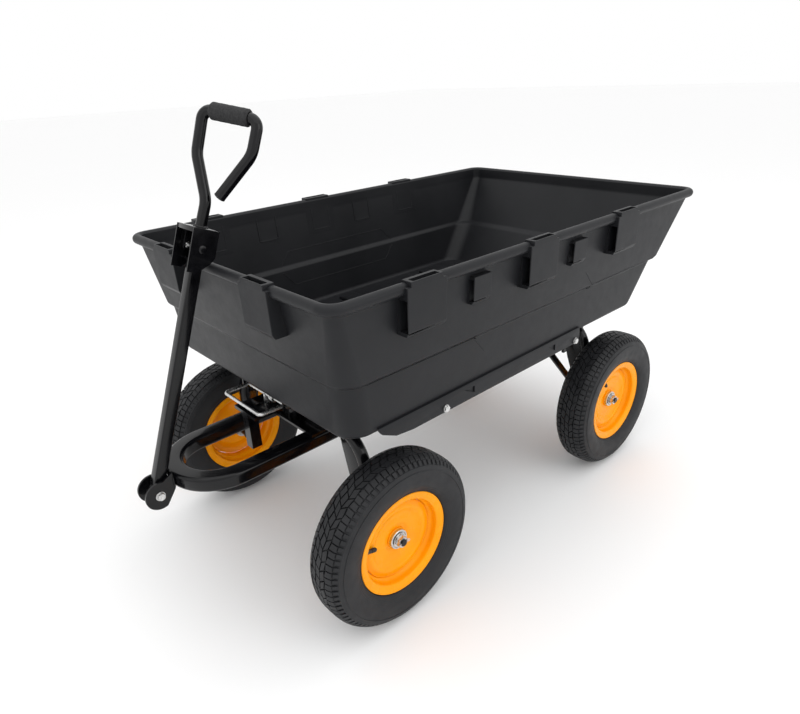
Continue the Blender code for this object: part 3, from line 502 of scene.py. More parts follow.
def weld_bead(centre_point, axis, radius, thick=0.0022, lumps=26):
    """A rippled bead of weld round a tube or rod."""
    axis = Vector(axis).normalized()
    side = axis.orthogonal().normalized()
    other = axis.cross(side)
    around = lumps * 3
    bm = bmesh.new()
    rings = []
    for k in range(around):
        angle = 2 * pi * k / around
        out = side * cos(angle) + other * sin(angle)
        size = thick * (1 + 0.18 * cos(2 * pi * k / 3))
        rings.append([bm.verts.new(Vector(centre_point) + out * (radius + a * size) + axis * (b * size * 1.3))
                      for a, b in circle(1.0, 8)])
    bridge(bm, rings, closed=True)
    return bm


def hexagon(base, axis, flats, start, end):
    """A hex head or nut: chamfered corners come from a wide cone at each end."""
    radius = flats / 2 / cos(pi / 6)
    axis = Vector(axis).normalized()
    side = axis.orthogonal().normalized()
    other = axis.cross(side)
    bm = bmesh.new()
    rings = []
    low, high = min(start, end), max(start, end)
    cut = (high - low) * 0.16
    for along, limit in ((low, flats / 2 * 1.02), (low + cut, 9), (high - cut, 9), (high, flats / 2 * 1.02)):
        ring = []
        for k in range(48):
            angle = 2 * pi * k / 48
            local = (angle + pi / 6) % (pi / 3) - pi / 6
            reach = min(flats / 2 / cos(local), limit, radius)
            ring.append(bm.verts.new(Vector(base) + axis * along
                                     + (side * cos(angle) + other * sin(angle)) * reach))
        rings.append(ring)
    bridge(bm, rings, caps=True)
    return bm


# ---- wheels ----
CROWN_SQUARE = 0.453
CROWN_FOURTH = 4435.0
TREAD_DEPTH = 0.0042


def tread_radius(x):
    return TYRE_R - CROWN_SQUARE * x ** 2 - CROWN_FOURTH * x ** 4


def ring_lathe(profile, side, count=96):
    """Turns a closed (x, r) outline about X through the origin."""
    bm = bmesh.new()
    rings = []
    for k in range(count):
        angle = 2 * pi * k / count
        rings.append([bm.verts.new((side * x, r * cos(angle), r * sin(angle))) for x, r in profile])
    bridge(bm, rings, closed=True)
    return bm


def tread_block(bm, corners, depth):
    """One block from its corners (x, angle), low x first: standing on the carcass, slightly tapered."""
    taper = 0.0006
    steps = 4
    (xa, a0), (xb, b0), (xc, c1), (xd, d1) = corners
    grids = []
    for drop, grow in ((0.0, 0.0), (depth, taper)):
        grid = []
        for k in range(steps):
            t = k / (steps - 1)
            out = grow if k == steps - 1 else (-grow if k == 0 else 0.0)
            pair = []
            for x0, x1, ang0, ang1, turn in ((xa, xb, a0, b0, -1), (xd, xc, d1, c1, 1)):
                x = x0 + (x1 - x0) * t + out
                angle = ang0 + (ang1 - ang0) * t + turn * grow / TYRE_R
                r = tread_radius(x) - drop
                pair.append(bm.verts.new((x, r * cos(angle), r * sin(angle))))
            grid.append(pair)
        grids.append(grid)
    top, floor = grids
    for k in range(steps - 1):
        bm.faces.new((top[k][0], top[k + 1][0], top[k + 1][1], top[k][1]))
        bm.faces.new((floor[k][0], floor[k + 1][0], floor[k + 1][1], floor[k][1]))
        for j in (0, 1):
            bm.faces.new((top[k][j], top[k + 1][j], floor[k + 1][j], floor[k][j]))
    for k in (0, steps - 1):
        bm.faces.new((top[k][0], top[k][1], floor[k][1], floor[k][0]))


def tyre_mesh(side):
    half = [(0.0160, 0.1019), (0.0295, 0.1019), (0.0325, 0.1060), (0.0333, 0.1195), (0.0368, 0.1210),
            (0.0412, 0.1268),
            (0.0455, 0.1365), (0.0480, 0.1480), (0.0490, 0.1600), (0.0486, 0.1690), (0.0472, 0.1765),
            (0.0452, 0.1822)]
    floor = [(x, tread_radius(x) - TREAD_DEPTH) for x in (0.0400, 0.0330, 0.0220, 0.0110, 0.0)]
    outer = half + floor
    inner = [(0.026, 0.113), (0.041, 0.161), (0.034, 0.182), (0.0, 0.190)]
    profile = outer + [(-x, r) for x, r in reversed(outer[:-1])]
    profile += [(-x, r) for x, r in inner] + [(x, r) for x, r in reversed(inner[:-1])]
    carcass = ring_lathe(profile, 1, 120)
    blocks = bmesh.new()
    count = 56
    pitch = 2 * pi / count
    for k in range(count):
        start = k * pitch
        zig = 0.0013 if k % 2 else -0.0013
        vee = pitch * 0.34
        tread_block(blocks, ((-0.0052 + zig, start), (0.0052 + zig, start + vee),
                             (0.0052 - zig, start + vee + pitch * 0.86), (-0.0052 - zig, start + pitch * 0.86)),
                    TREAD_DEPTH + 0.0004)
        for hand in (-1, 1):
            low, high = 0.0080, 0.0185
            lean = pitch * (0.5 if hand > 0 else -0.16)
            tread_block(blocks, ((hand * low + zig, start + lean), (hand * high + zig, start + lean - vee),
                                 (hand * high - zig, start + lean - vee + pitch * 0.84),
                                 (hand * low - zig, start + lean + pitch * 0.84)), TREAD_DEPTH + 0.0004)
    ribs = 84
    pitch = 2 * pi / ribs
    for k in range(ribs):
        start = k * pitch
        for hand in (-1, 1):
            wave = 0.0011 if k % 2 else -0.0011
            tread_block(blocks, ((hand * 0.0215 + wave, start), (hand * 0.0345, start + pitch * 0.12),
                                 (hand * 0.0345, start + pitch * 0.95), (hand * 0.0215 - wave, start + pitch * 0.80)),
                        TREAD_DEPTH + 0.0004)
            tread_block(blocks, ((hand * 0.0366, start + pitch * 0.1), (hand * 0.0452, start + pitch * 0.1),
                                 (hand * 0.0452, start + pitch * 0.62), (hand * 0.0366, start + pitch * 0.72)),
                        0.0034)
    line = ring_lathe([(0.0482 + 0.0011 * a, 0.1715 + 0.0011 * b) for a, b in circle(1.0, 6)], 1, 120)
    guard = ring_lathe([(0.0375 + 0.0013 * a, 0.1218 + 0.0013 * b) for a, b in circle(1.0, 8)], 1, 120)
    rings = [line, guard]
    for ring in (line, guard):
        twin = ring.copy()
        bmesh.ops.scale(twin, vec=(-1, 1, 1), verts=twin.verts)
        rings.append(twin)
    whole = join(carcass, blocks, *rings)
    bmesh.ops.scale(whole, vec=(side, 1, 1), verts=whole.verts)
    return whole


def round_profile(points, cut=0.32, rounds=2):
    """Rounds every corner of a closed outline by cutting it."""
    for _ in range(rounds):
        fresh = []
        for here, there in zip(points, points[1:] + points[:1]):
            fresh.append((here[0] + (there[0] - here[0]) * cut, here[1] + (there[1] - here[1]) * cut))
            fresh.append((there[0] + (here[0] - there[0]) * cut, there[1] + (here[1] - there[1]) * cut))
        points = fresh
    return points


def rim_mesh(side):
    seat = 0.1016
    well = 0.0926
    sheet = 0.0025
    bore = 0.0229
    barrel = [(-0.0345, 0.1182), (-0.0316, 0.1035), (-0.0285, seat), (-0.0160, seat), (-0.0110, well), (0.0110, well),
              (0.0160, seat), (0.0285, seat), (0.0316, 0.1035), (0.0345, 0.1182), (0.0362, 0.1192), (0.0372, 0.1182),
              (0.0340, 0.1010), (0.0295, seat - sheet), (0.0175, seat - sheet), (0.0128, well - sheet),
              (-0.0128, well - sheet), (-0.0175, seat - sheet), (-0.0295, seat - sheet), (-0.0340, 0.1010),
              (-0.0372, 0.1182), (-0.0362, 0.1192)]
    dish = [(0.0135, well - sheet + 0.001), (0.0150, 0.0850), (0.0172, 0.0790), (0.0168, 0.0720), (0.0128, 0.0655),
            (0.0105, 0.0560), (0.0112, 0.0440), (0.0108, 0.0340), (0.0088, 0.0290), (0.0090, bore),
            (0.0060, bore), (0.0058, 0.0290), (0.0080, 0.0340), (0.0084, 0.0440), (0.0077, 0.0560),
            (0.0100, 0.0655), (0.0140, 0.0720), (0.0144, 0.0790), (0.0122, 0.0850), (0.0085, well - sheet + 0.001)]
    curl = [(0.0358 + 0.0019 * a, 0.1172 + 0.0019 * b) for a, b in circle(1.0, 10)]
    far_curl = [(-x, r) for x, r in curl]
    seam = [(0.0128 + 0.0016 * a, well - sheet - 0.0002 + 0.0016 * b) for a, b in circle(1.0, 6)]
    return join(*[ring_lathe(p, side) for p in (round_profile(barrel), round_profile(dish, 0.3, 2), curl, far_curl,
                                                seam)])


def hub_mesh(side):
    body = [(-0.034, 0.0222), (-0.0335, 0.0225), (0.0188, 0.0225), (0.0195, 0.0218), (0.0195, 0.0190),
            (0.0178, 0.0188), (0.0178, 0.0130), (0.0186, 0.0118), (0.0192, 0.0112), (0.0192, 0.0086),
            (-0.034, 0.0086)]
    shield = [(0.0150, 0.0186), (0.0186, 0.0182), (0.0190, 0.0150), (0.0184, 0.0126), (0.0150, 0.0122)]
    bead = join(*[weld_bead((side * x, 0, 0), (1, 0, 0), 0.0227, 0.0018, 30) for x in (0.0048, 0.0102)])
    return join(ring_lathe(body, side, 64), ring_lathe(shield, side, 64)), bead


def valve_mesh(side, angle):
    out = Vector((0, cos(angle), sin(angle)))
    profile = [(0.0, 0.0062), (0.0015, 0.0062), (0.0035, 0.0047), (0.0150, 0.0042), (0.0152, 0.0036),
               (0.0162, 0.0036),
               (0.0164, 0.0046), (0.0270, 0.0044), (0.0285, 0.0036), (0.0290, 0.0022)]
    start = Vector((side * 0.0225, 0, 0)) + out * 0.0982
    stem = turned(profile, start, -out, 24)
    grips = []
    for k in range(12):
        turn = 2 * pi * k / 12
        wide = X_AXIS * cos(turn) + out.cross(X_AXIS) * sin(turn)
        grips.append(shaft(start + wide * 0.0044, -out, 0.0006, 0.0175, 0.0262, 6, 0.0002))
    return join(stem, *grips)


def axle_end(side, middle):
    """Washer, nut and split pin at one spindle end, in drawing coordinates."""
    axis = Vector((side, 0, 0))
    washer = turned([(0.0199, 0.0166), (0.0202, 0.0170), (0.0215, 0.0170), (0.0218, 0.0166), (0.0218, 0.0083),
                     (0.0199, 0.0083)], middle, axis, 48, True)
    nut = hexagon(middle, axis, 0.024, 0.0222, 0.0326)
    legs = [Vector((side * 0.0343, 0.0118, 0.0006)), Vector((side * 0.0343, -0.0100, 0.0006)),
            Vector((side * 0.0330, -0.0135, -0.0030))]
    eye = [Vector((side * 0.0343, 0.0135 + 0.0028 * cos(a), 0.0028 * sin(a)))
           for a in [2 * pi * k / 14 for k in range(14)]]
    wire = [sweep([p + middle for p in legs], circle(0.0010, 8), Vector((0, 0.1, 1))),
            sweep([p + middle for p in eye], circle(0.0010, 8), X_AXIS)]
    return washer, join(nut, *wire)


VALVE_ANGLES = {"front": radians(165), "rear": radians(125)}


def build_wheels():
    meshes = {}
    for label, side in SIDES:
        for kind, bm, mat in (("tyre", tyre_mesh(side), TYRE), ("rim", rim_mesh(side), RIM_PAINT)):
            bmesh.ops.recalc_face_normals(bm, faces=bm.faces)
            mesh = bpy.data.meshes.new(f"{kind}_{label}")
            bm.to_mesh(mesh)
            bm.free()
            mesh.materials.append(mat)
            meshes[kind, label] = mesh
    for end, axle_y, holder in (("front", FRONT_AXLE_Y, "steering"), ("rear", REAR_AXLE_Y, "chassis")):
        for label, side in SIDES:
            name = f"{end}_{label}"
            body = f"{name}_wheel"
            middle = Vector((side * TRACK_HALF, axle_y, TYRE_R))
            show(f"look_{name}_tyre", meshes["tyre", label], body, [f"{name}_tyre"], 32, 0, middle)
            show(f"look_{name}_rim", meshes["rim", label], body, [f"{name}_rim"], 50, 0, middle)
            hub, bead = hub_mesh(side)
            piece(f"look_{name}_hub", hub, ZINC, body, [f"{name}_hub", f"{name}_bearing"], 30, 0, middle)
            piece(f"look_{name}_hub_weld", bead, RIM_PAINT, body, (), 60, 0, middle)
            piece(f"look_{name}_valve", valve_mesh(side, VALVE_ANGLES[end]), RUBBER, body, [f"{name}_valve"], 30, 0,
                  middle)
            washer, nut = axle_end(side, middle)
            piece(f"look_{name}_washer", washer, ZINC, holder, [f"{name}_washer"], 30)
            piece(f"look_{name}_nut", nut, ZINC, holder, [f"{name}_axle_nut"], 30)


# ---- arches, rails and draw loop ----
def axle_arch(axle_y, boss):
    centre_z = ARCH_TOP_Z - ARCH_R
    corners = [(LEG_X, axle_y, LEG_BOTTOM_Z), (LEG_X, axle_y, centre_z), (-LEG_X, axle_y, centre_z),
               (-LEG_X, axle_y, LEG_BOTTOM_Z)]
    tube = sweep(fillet_path(corners, (LEG_BEND_R, LEG_BEND_R), 16), circle(ARCH_R, 28), Y_AXIS,
                 circle(0.0115, 28))
    parts = [tube]
    for _, side in SIDES:
        base = Vector((0, axle_y, TYRE_R))
        axis = (side, 0, 0)
        parts.append(shaft(base, axis, 0.008, LEG_X - 0.020, TRACK_HALF + 0.0365, 32, 0.0012))
        parts.append(shaft(base, axis, 0.013, LEG_X - 0.006, TRACK_HALF - 0.0345, 32))
        parts.append(weld_bead((side * (LEG_X + ARCH_R - 0.0005), axle_y, TYRE_R), (1, 0, 0), 0.0132, 0.0022, 18))
        inner = LEG_X - ARCH_R + 0.002
        outline = [(inner, 0.200), (inner - 0.022, 0.232), (inner - 0.044, 0.292), (inner - 0.064, 0.368),
                   (inner - 0.070, centre_z - ARCH_R + 0.002), (LEG_X - LEG_BEND_R, centre_z - 0.006),
                   (LEG_X - 0.030, centre_z - 0.030), (inner + 0.004, centre_z - LEG_BEND_R)]
        plate = prism([(side * x, z) for x, z in outline], 0.003, "Y", axle_y)
        round_edges(plate, 0.0008)
        parts.append(plate)
        for face in (-1, 1):
            seam = [Vector((side * (inner - 0.001), axle_y + face * 0.0034, 0.215 + 0.0045 * k)) for k in range(26)]
            parts.append(ripple(seam, 0.0019))
    if boss:
        profile = [(0.0, 0.0205), (0.0008, 0.0210), (2 * ARCH_R - 0.0010, 0.0210), (2 * ARCH_R - 0.0002, 0.0205),
                   (2 * ARCH_R - 0.0002, 0.0085), (0.0, 0.0085)]
        parts.append(turned(profile, (0, axle_y, centre_z - ARCH_R), (0, 0, 1), 40, True))
    return join(*parts)


def ripple(points, radius):
    """A straight run of weld: a bead with a ripple at each point."""
    bm = bmesh.new()
    rings = []
    run = (points[-1] - points[0]).normalized()
    side = run.orthogonal().normalized()
    other = run.cross(side)
    for k, point in enumerate(points):
        size = radius * (1.12 if k % 2 else 0.86)
        if k in (0, len(points) - 1):
            size = radius * 0.4
        rings.append([bm.verts.new(point + side * a * size + other * b * size) for a, b in circle(1.0, 8)])
    bridge(bm, rings, caps=True)
    return bm


def build_chassis():
    low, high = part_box("rail_left")
    width, height = high[0] - low[0], high[2] - low[2]
    for label, side in SIDES:
        middle_x = side * (low[0] + high[0]) / 2
        middle_z = (low[2] + high[2]) / 2
        path = [Vector((middle_x, y - SHIFT, middle_z)) for y in (low[1], high[1])]
        rail = sweep(path, rounded_rectangle(width, height, 0.0035), Z_AXIS,
                     rounded_rectangle(width - 0.005, height - 0.005, 0.0015))
        piece(f"look_rail_{label}", rail, PAINT, "chassis", [f"rail_{label}"])
    struts = []
    for _, side in SIDES:
        top = Vector((side * 0.240, REAR_AXLE_Y - 0.1980, ARCH_TOP_Z - 0.0065))
        foot = Vector((side * (LEG_X - 0.006), REAR_AXLE_Y - 0.006, TYRE_R - 0.009))
        struts.append(sweep([top, foot], circle(0.009, 24), X_AXIS))
        near_foot = foot + (top - foot) * 0.055
        struts.append(weld_bead(near_foot, top - foot, 0.0092, 0.0022, 16))
    piece("look_rear_axle_arch", join(axle_arch(REAR_AXLE_Y, False), *struts), PAINT, "chassis", ["rear_axle_arch"])
    piece("look_front_axle_arch", axle_arch(FRONT_AXLE_Y, True), PAINT, "steering", ["front_axle_arch"])


def loop_path(half, rear, z):
    path = [Vector((half, rear, z))]
    for k in range(33):
        angle = -pi * k / 32
        path.append(Vector((half * cos(angle), LOOP_CENTRE_Y + half * sin(angle), z)))
    path.append(Vector((-half, rear, z)))
    return path


def clevis_outline(radius=0.031):
    points = []
    for k in range(31):
        angle = radians(70 + 220 * k / 30)
        points.append((PIVOT.y + radius * cos(angle), PIVOT.z + radius * sin(angle)))
    back = LOOP_CENTRE_Y - LOOP_HALF_W - 0.0008
    return points + [(back, LOOP_TOP_Z - LOOP_H), (back, LOOP_TOP_Z + 0.006)]


def build_steering():
    rear = edge("draw_loop", 1) - SHIFT
    loop = sweep(loop_path(LOOP_HALF_W - LOOP_T / 2, rear, LOOP_TOP_Z - LOOP_H / 2),
                 rounded_rectangle(LOOP_T, LOOP_H, 0.0085, 6), Z_AXIS,
                 rounded_rectangle(LOOP_T - 0.006, LOOP_H - 0.006, 0.0055, 6))
    piece("look_draw_loop", loop, PAINT, "steering", ["draw_loop"])
    for label, side in SIDES:
        plate = prism(clevis_outline(), 0.0025, "X", side * 0.020)
        back = LOOP_CENTRE_Y - LOOP_HALF_W - 0.001
        seams = [ripple([Vector((side * (0.020 + face * 0.0028), back, LOOP_TOP_Z - LOOP_H + 0.0024 + 0.0032 * k))
                         for k in range(10)], 0.0020) for face in (-1, 1)]
        piece(f"look_clevis_{label}", join(plate, *seams), PAINT, "steering", [f"clevis_plate_{label}"])
    head = hexagon(PIVOT, (1, 0, 0), 0.0150, 0.0232, 0.0292)
    nut = hexagon(PIVOT, (-1, 0, 0), 0.0150, 0.0232, 0.0292)
    rings = [turned([(0.0226, 0.0102), (0.0234, 0.0102), (0.0234, 0.0055), (0.0226, 0.0055)], PIVOT, (s, 0, 0), 36,
                    True)
             for s in (-1, 1)]
    piece("look_clevis_bolt", join(shaft(PIVOT, (1, 0, 0), 0.005, -0.0300, 0.0262), head, nut, *rings), ZINC,
          "steering", ["clevis_bolt"])


# ---- pull bar, yoke and hand loop ----
def on_bar(along, back, x=0.0):
    return PIVOT + BAR_DIR * along + BAR_BACK * back + Vector((x, 0, 0))


def bar_prism(outline, x0, x1):
    points = [on_bar(s, n) for s, n in outline]
    return prism([(p.y, p.z) for p in points], abs(x1 - x0) / 2, "X", (x0 + x1) / 2)


def bar_box(s0, s1, n0, n1, x0, x1):
    return bar_prism([(s0, n0), (s1, n0), (s1, n1), (s0, n1)], x0, x1)


GRIP_PIVOT_S, GRIP_PIVOT_N = 0.518, -0.007      # along the bar from the clevis bolt, and behind it
GRIP_PIVOT = on_bar(GRIP_PIVOT_S, GRIP_PIVOT_N)


def build_handle():
    bar_size = 0.025
    path = [on_bar(0.010, 0), on_bar(YOKE_PLATE_S - 0.0003, 0)]
    bar = sweep(path, rounded_rectangle(bar_size, bar_size, 0.0040, 5), X_AXIS)
    sleeve = shaft(PIVOT, (1, 0, 0), 0.0135, -0.0169, 0.0169, 36)
    seam = weld_bead(on_bar(0.0125, 0), BAR_DIR, 0.0128, 0.0018, 22)
    piece("look_pull_bar", join(bar, sleeve, seam), PAINT, "handle", ["pull_bar"])
    n = YOKE_BACK_N
    cheek_s = 0.472
    inner = YOKE_HALF_X - YOKE_T
    outline = [(YOKE_TOP_S, -YOKE_FRONT_N), (YOKE_TOP_S, n), (YOKE_WEB_S, n), (YOKE_PLATE_S, 0.0135),
               (cheek_s, -0.010), (cheek_s, -YOKE_FRONT_N)]
    walls = [bar_prism(outline, side * inner, side * YOKE_HALF_X) for _, side in SIDES]
    walls.append(bar_box(YOKE_WEB_S, YOKE_TOP_S, n - YOKE_T, n, -inner - 0.001, inner + 0.001))
    walls.append(bar_box(YOKE_PLATE_S, YOKE_PLATE_S + YOKE_T, -0.0125, 0.0135, -inner - 0.001, inner + 0.001))
    slope = [(YOKE_PLATE_S, 0.0130), (YOKE_PLATE_S + YOKE_T, 0.0130), (YOKE_WEB_S + YOKE_T, n - 0.002),
             (YOKE_WEB_S, n)]
    walls.append(bar_prism(slope, -inner - 0.001, inner + 0.001))
    yoke = combine(walls[0], walls[1:])
    bmesh.ops.dissolve_limit(yoke, angle_limit=0.02, verts=yoke.verts, edges=yoke.edges)
    piece("look_yoke", yoke, PAINT, "handle", ["yoke"], 35, 0.0009)
    head = turned([(0.0368, 0.0074), (0.0371, 0.0080), (0.0382, 0.0079), (0.0391, 0.0060), (0.0393, 0.0020)],
                  GRIP_PIVOT, (1, 0, 0), 32)
    piece("look_yoke_pin_head", head, PAINT, "handle")
    nut = hexagon(GRIP_PIVOT, (-1, 0, 0), 0.0130, 0.0190, 0.0245)
    piece("look_yoke_pin", join(shaft(GRIP_PIVOT, (1, 0, 0), 0.004, -0.0382, 0.0370, 28), nut), ZINC, "handle",
          ["yoke_pin"])


def build_grip():
    inner = YOKE_HALF_X - YOKE_T - 0.0005
    cap = bar_box(YOKE_TOP_S - 0.009, YOKE_TOP_S + 0.0005, -YOKE_FRONT_N + 0.0005, YOKE_BACK_N - YOKE_T - 0.0008,
                  -inner, inner)
    cheeks = [bar_box(0.509, YOKE_TOP_S - 0.004, -0.016, 0.002, side * inner, side * (inner - 0.008))
              for _, side in SIDES]
    foot = join(cap, *cheeks)
    round_edges(foot, 0.0012)
    base = on_bar(YOKE_TOP_S, 0.0)
    collar = weld_bead(base + BAR_DIR * 0.0008, BAR_DIR, GRIP_TUBE_R + 0.0006, 0.0026, 18)
    piece("look_grip_foot", join(foot, collar), PAINT, "grip", ["grip_foot"], 40)

    across = Vector((cos(GRIP_TWIST), 0, 0)) + BAR_BACK * sin(GRIP_TWIST)
    shape = [(0.0, -0.004), (0.002, 0.052), (-0.0345, 0.135), (-0.036, 0.2175), (0.083, 0.2165), (0.082, 0.152),
             (0.030, 0.064)]
    corners = [base + across * a + BAR_DIR * (b + 0.0005) for a, b in shape]
    normal = across.cross(BAR_DIR)
    path = fillet_path(corners, (0.060, 0.060, 0.018, 0.018, 0.055), 14)
    tube = sweep(path, circle(GRIP_TUBE_R, 28), normal)
    tip = corners[-1]
    away = (corners[-1] - corners[-2]).normalized()
    plug = turned([(-0.001, GRIP_TUBE_R + 0.0003), (0.0008, GRIP_TUBE_R + 0.0003), (0.0018, 0.0098),
                   (0.0024, 0.0060)],
                  tip, away, 28)
    piece("look_grip_tube", tube, PAINT, "grip", ["grip_tube"])
    piece("look_grip_plug", plug, RUBBER, "grip")

    run = (corners[4] - corners[3]).normalized()
    middle = (corners[3] + corners[4]) / 2
    half = 0.041
    profile = []
    for k in range(25):
        t = -1 + k / 12
        swell = 0.00025 * sin(17 * t) * cos(5 * t)
        ends = 0.0030 * max(0.0, (abs(t) - 0.93) / 0.07) ** 2
        profile.append((t * half, FOAM_R - ends + swell))
    profile += [(half, 0.0117), (-half, 0.0117)]
    foam = piece("look_grip_foam", turned(profile, middle, run, 48, True), FOAM, "grip", ["grip_foam"], 50)


# ---- tub ----
def rounded_ring(level, steps=14):
    half_x, front, rear, radius, z = level
    points = []
    corners = ((half_x - radius, rear - radius, 0), (-half_x + radius, rear - radius, 90),
               (-half_x + radius, front + radius, 180), (half_x - radius, front + radius, 270))
    for x, y, start in corners:
        for k in range(steps + 1):
            angle = radians(start + 90 * k / steps)
            points.append((x + radius * cos(angle), y + radius * sin(angle), z))
    return points


def level(size, grow, z):
    return (size[0] + grow, size[1] - grow, size[2] + grow, size[3] + grow, z)


def fillet_levels(levels, cut=0.0035):
    """Rounds the turns between levels, each turn becoming a short arc of three rings."""
    fresh = [levels[0]]
    for before, here, after in zip(levels, levels[1:], levels[2:]):
        ends = []
        for other in (before, after):
            gap = max(abs(a - b) for a, b in zip(other, here))
            part = min(cut / gap, 0.4)
            ends.append(tuple(h + (o - h) * part for h, o in zip(here, other)))
        middle = tuple(h * 0.5 + (a + b) * 0.25 for h, a, b in zip(here, *ends))
        fresh += [ends[0], middle, ends[1]]
    fresh.append(levels[-1])
    return fresh


def tub_shell():
    outside = [level(EDGE, -0.034, FLOOR_Z), level(EDGE, -0.014, FLOOR_Z + 0.0003),
               level(EDGE, -0.004, FLOOR_Z + 0.003),
               level(EDGE, 0, FLOOR_Z + 0.010), level(STEP, 0, STEP_Z), level(UPPER, 0, STEP_Z + 0.008),
               level(RIM, -WALL_INSET, WALL_TOP_Z), level(RIM, -0.0040, 0.7585)]
    middle_z = RIM_TOP_Z - LIP_R
    lip = []
    for k in range(15):
        angle = radians(-75 + 225 * k / 14)
        lip.append(level(RIM, LIP_R * cos(angle), middle_z + LIP_R * sin(angle)))
    inside = [level(RIM, -0.0106, 0.760), level(RIM, -0.0108, 0.748), level(UPPER, -WALL, STEP_Z + 0.010),
              level(STEP, -WALL, STEP_Z + 0.002), level(EDGE, -WALL, FLOOR_Z + 0.012),
              level(EDGE, -0.009, FLOOR_Z + WALL + 0.0015), level(EDGE, -0.024, FLOOR_Z + WALL)]
    rings_at = fillet_levels(outside) + lip + fillet_levels(inside)
    bm = bmesh.new()
    rings = [[bm.verts.new(p) for p in rounded_ring(size)] for size in rings_at]
    bridge(bm, rings, caps=True)
    return bm


def wall_x(z, inside=False):
    """Half width of the tub's side wall at a height."""
    if z < STEP_Z:
        x = EDGE[0] + (STEP[0] - EDGE[0]) * (z - FLOOR_Z - 0.01) / (STEP_Z - FLOOR_Z - 0.01)
    else:
        start = STEP_Z + 0.008
        x = UPPER[0] + (RIM_HALF_X - WALL_INSET - UPPER[0]) * (z - start) / (WALL_TOP_Z - start)
    return x - WALL if inside else x


def pocket(half_w, top, bottom, out, taper):
    """A pocket's block as rounded stock standing out of the wall: x is outwards from the lip's middle."""
    outline = [(-0.0085, top), (out, top), (out - taper, bottom + 0.010), (out - taper - 0.006, bottom),
               (-0.019, bottom)]
    bm = prism(outline, half_w, "Y")
    round_edges(bm, 0.0018)
    return bm


def placed(bm, side, along):
    """Moves pocket stock drawn at the origin to a side wall, or to the front wall with side 0."""
    if side:
        turn = Matrix.Diagonal((side, 1, 1, 1))
        turn = Matrix.Translation((side * RIM_HALF_X, along, 0)) @ turn
    else:
        turn = Matrix.Translation((along, RIM_FRONT_Y, 0)) @ Matrix.Rotation(-pi / 2, 4, "Z")
    bmesh.ops.transform(bm, matrix=turn, verts=bm.verts)
    return bm


def tub_pockets():
    solids, cuts = [], []
    places = [(side, y) for _, side in SIDES for y in SIDE_POCKET_YS] + [(0, s * FRONT_POCKET_X) for _, s in SIDES]
    slot_out = POCKET_OUT - 0.003
    for side, along in places:
        solids.append(placed(pocket(POCKET_W / 2, RIM_TOP_Z - 0.006, POCKET_BOTTOM_Z, POCKET_OUT - 0.0003, 0.002),
                             side, along))
        solids.append(placed(soft_box(-0.0075, POCKET_OUT - 0.0005, -SLOT_W / 2 - 0.007, SLOT_W / 2 + 0.007, 0.764,
                                      RIM_TOP_Z + 0.0034, 0.0016), side, along))
        cuts.append(placed(soft_box(slot_out - SLOT_T + 0.001, slot_out, -SLOT_W / 2, SLOT_W / 2, 0.700, 0.820,
                                    0.002),
                           side, along))
        end = -POCKET_W / 2
        cuts.append(placed(box(-0.0045, POCKET_OUT - 0.0035, end - 0.002, end + 0.050, POCKET_BOTTOM_Z + 0.008,
                               0.752), side, along))
    for _, side in SIDES:
        for y in HOOD_YS:
            solids.append(placed(pocket(0.026, 0.748, 0.690, 0.006, 0.002), side, y))
            cuts.append(placed(box(-0.0085, 0.0032, -0.030, 0.010, 0.6965, 0.742), side, y))
    return solids, cuts


def build_tub():
    solids, cuts = tub_pockets()
    shell = combine(combine(tub_shell(), solids), cuts, "DIFFERENCE")
    mesh_piece = piece("look_tub", shell, PLASTIC, "tub", ["tub"], 32)
    weighted = mesh_piece.modifiers.new("normals", "WEIGHTED_NORMAL")
    weighted.keep_sharp = True

    sills = []
    for _, side in SIDES:
        outline = [(-0.515, 0.495), (-0.505, 0.478), (-0.470, 0.461), (-0.425, 0.4565), (0.150, 0.4565),
                   (0.160, 0.4590), (0.1665, 0.466), (0.168, 0.475), (0.168, 0.497)]
        skirt = prism(outline, 0.0046, "X", side * 0.3592)
        round_edges(skirt, 0.0012)
        notches = [prism([(y - 0.016, 0.484), (y + 0.016, 0.484), (y + 0.016, 0.468)], 0.004, "X", side * 0.3645)
                   for y in (-0.255, 0.045)]
        sills.append(combine(skirt, notches, "DIFFERENCE"))
    piece("look_tub_sills", join(*sills), PLASTIC, "tub", (), 32)
    piece("look_tub_lines", join(*wall_lines()), PLASTIC, "tub", (), 60)
    piece("look_tub_floor", join(*floor_detail()), PLASTIC, "tub", (), 32)


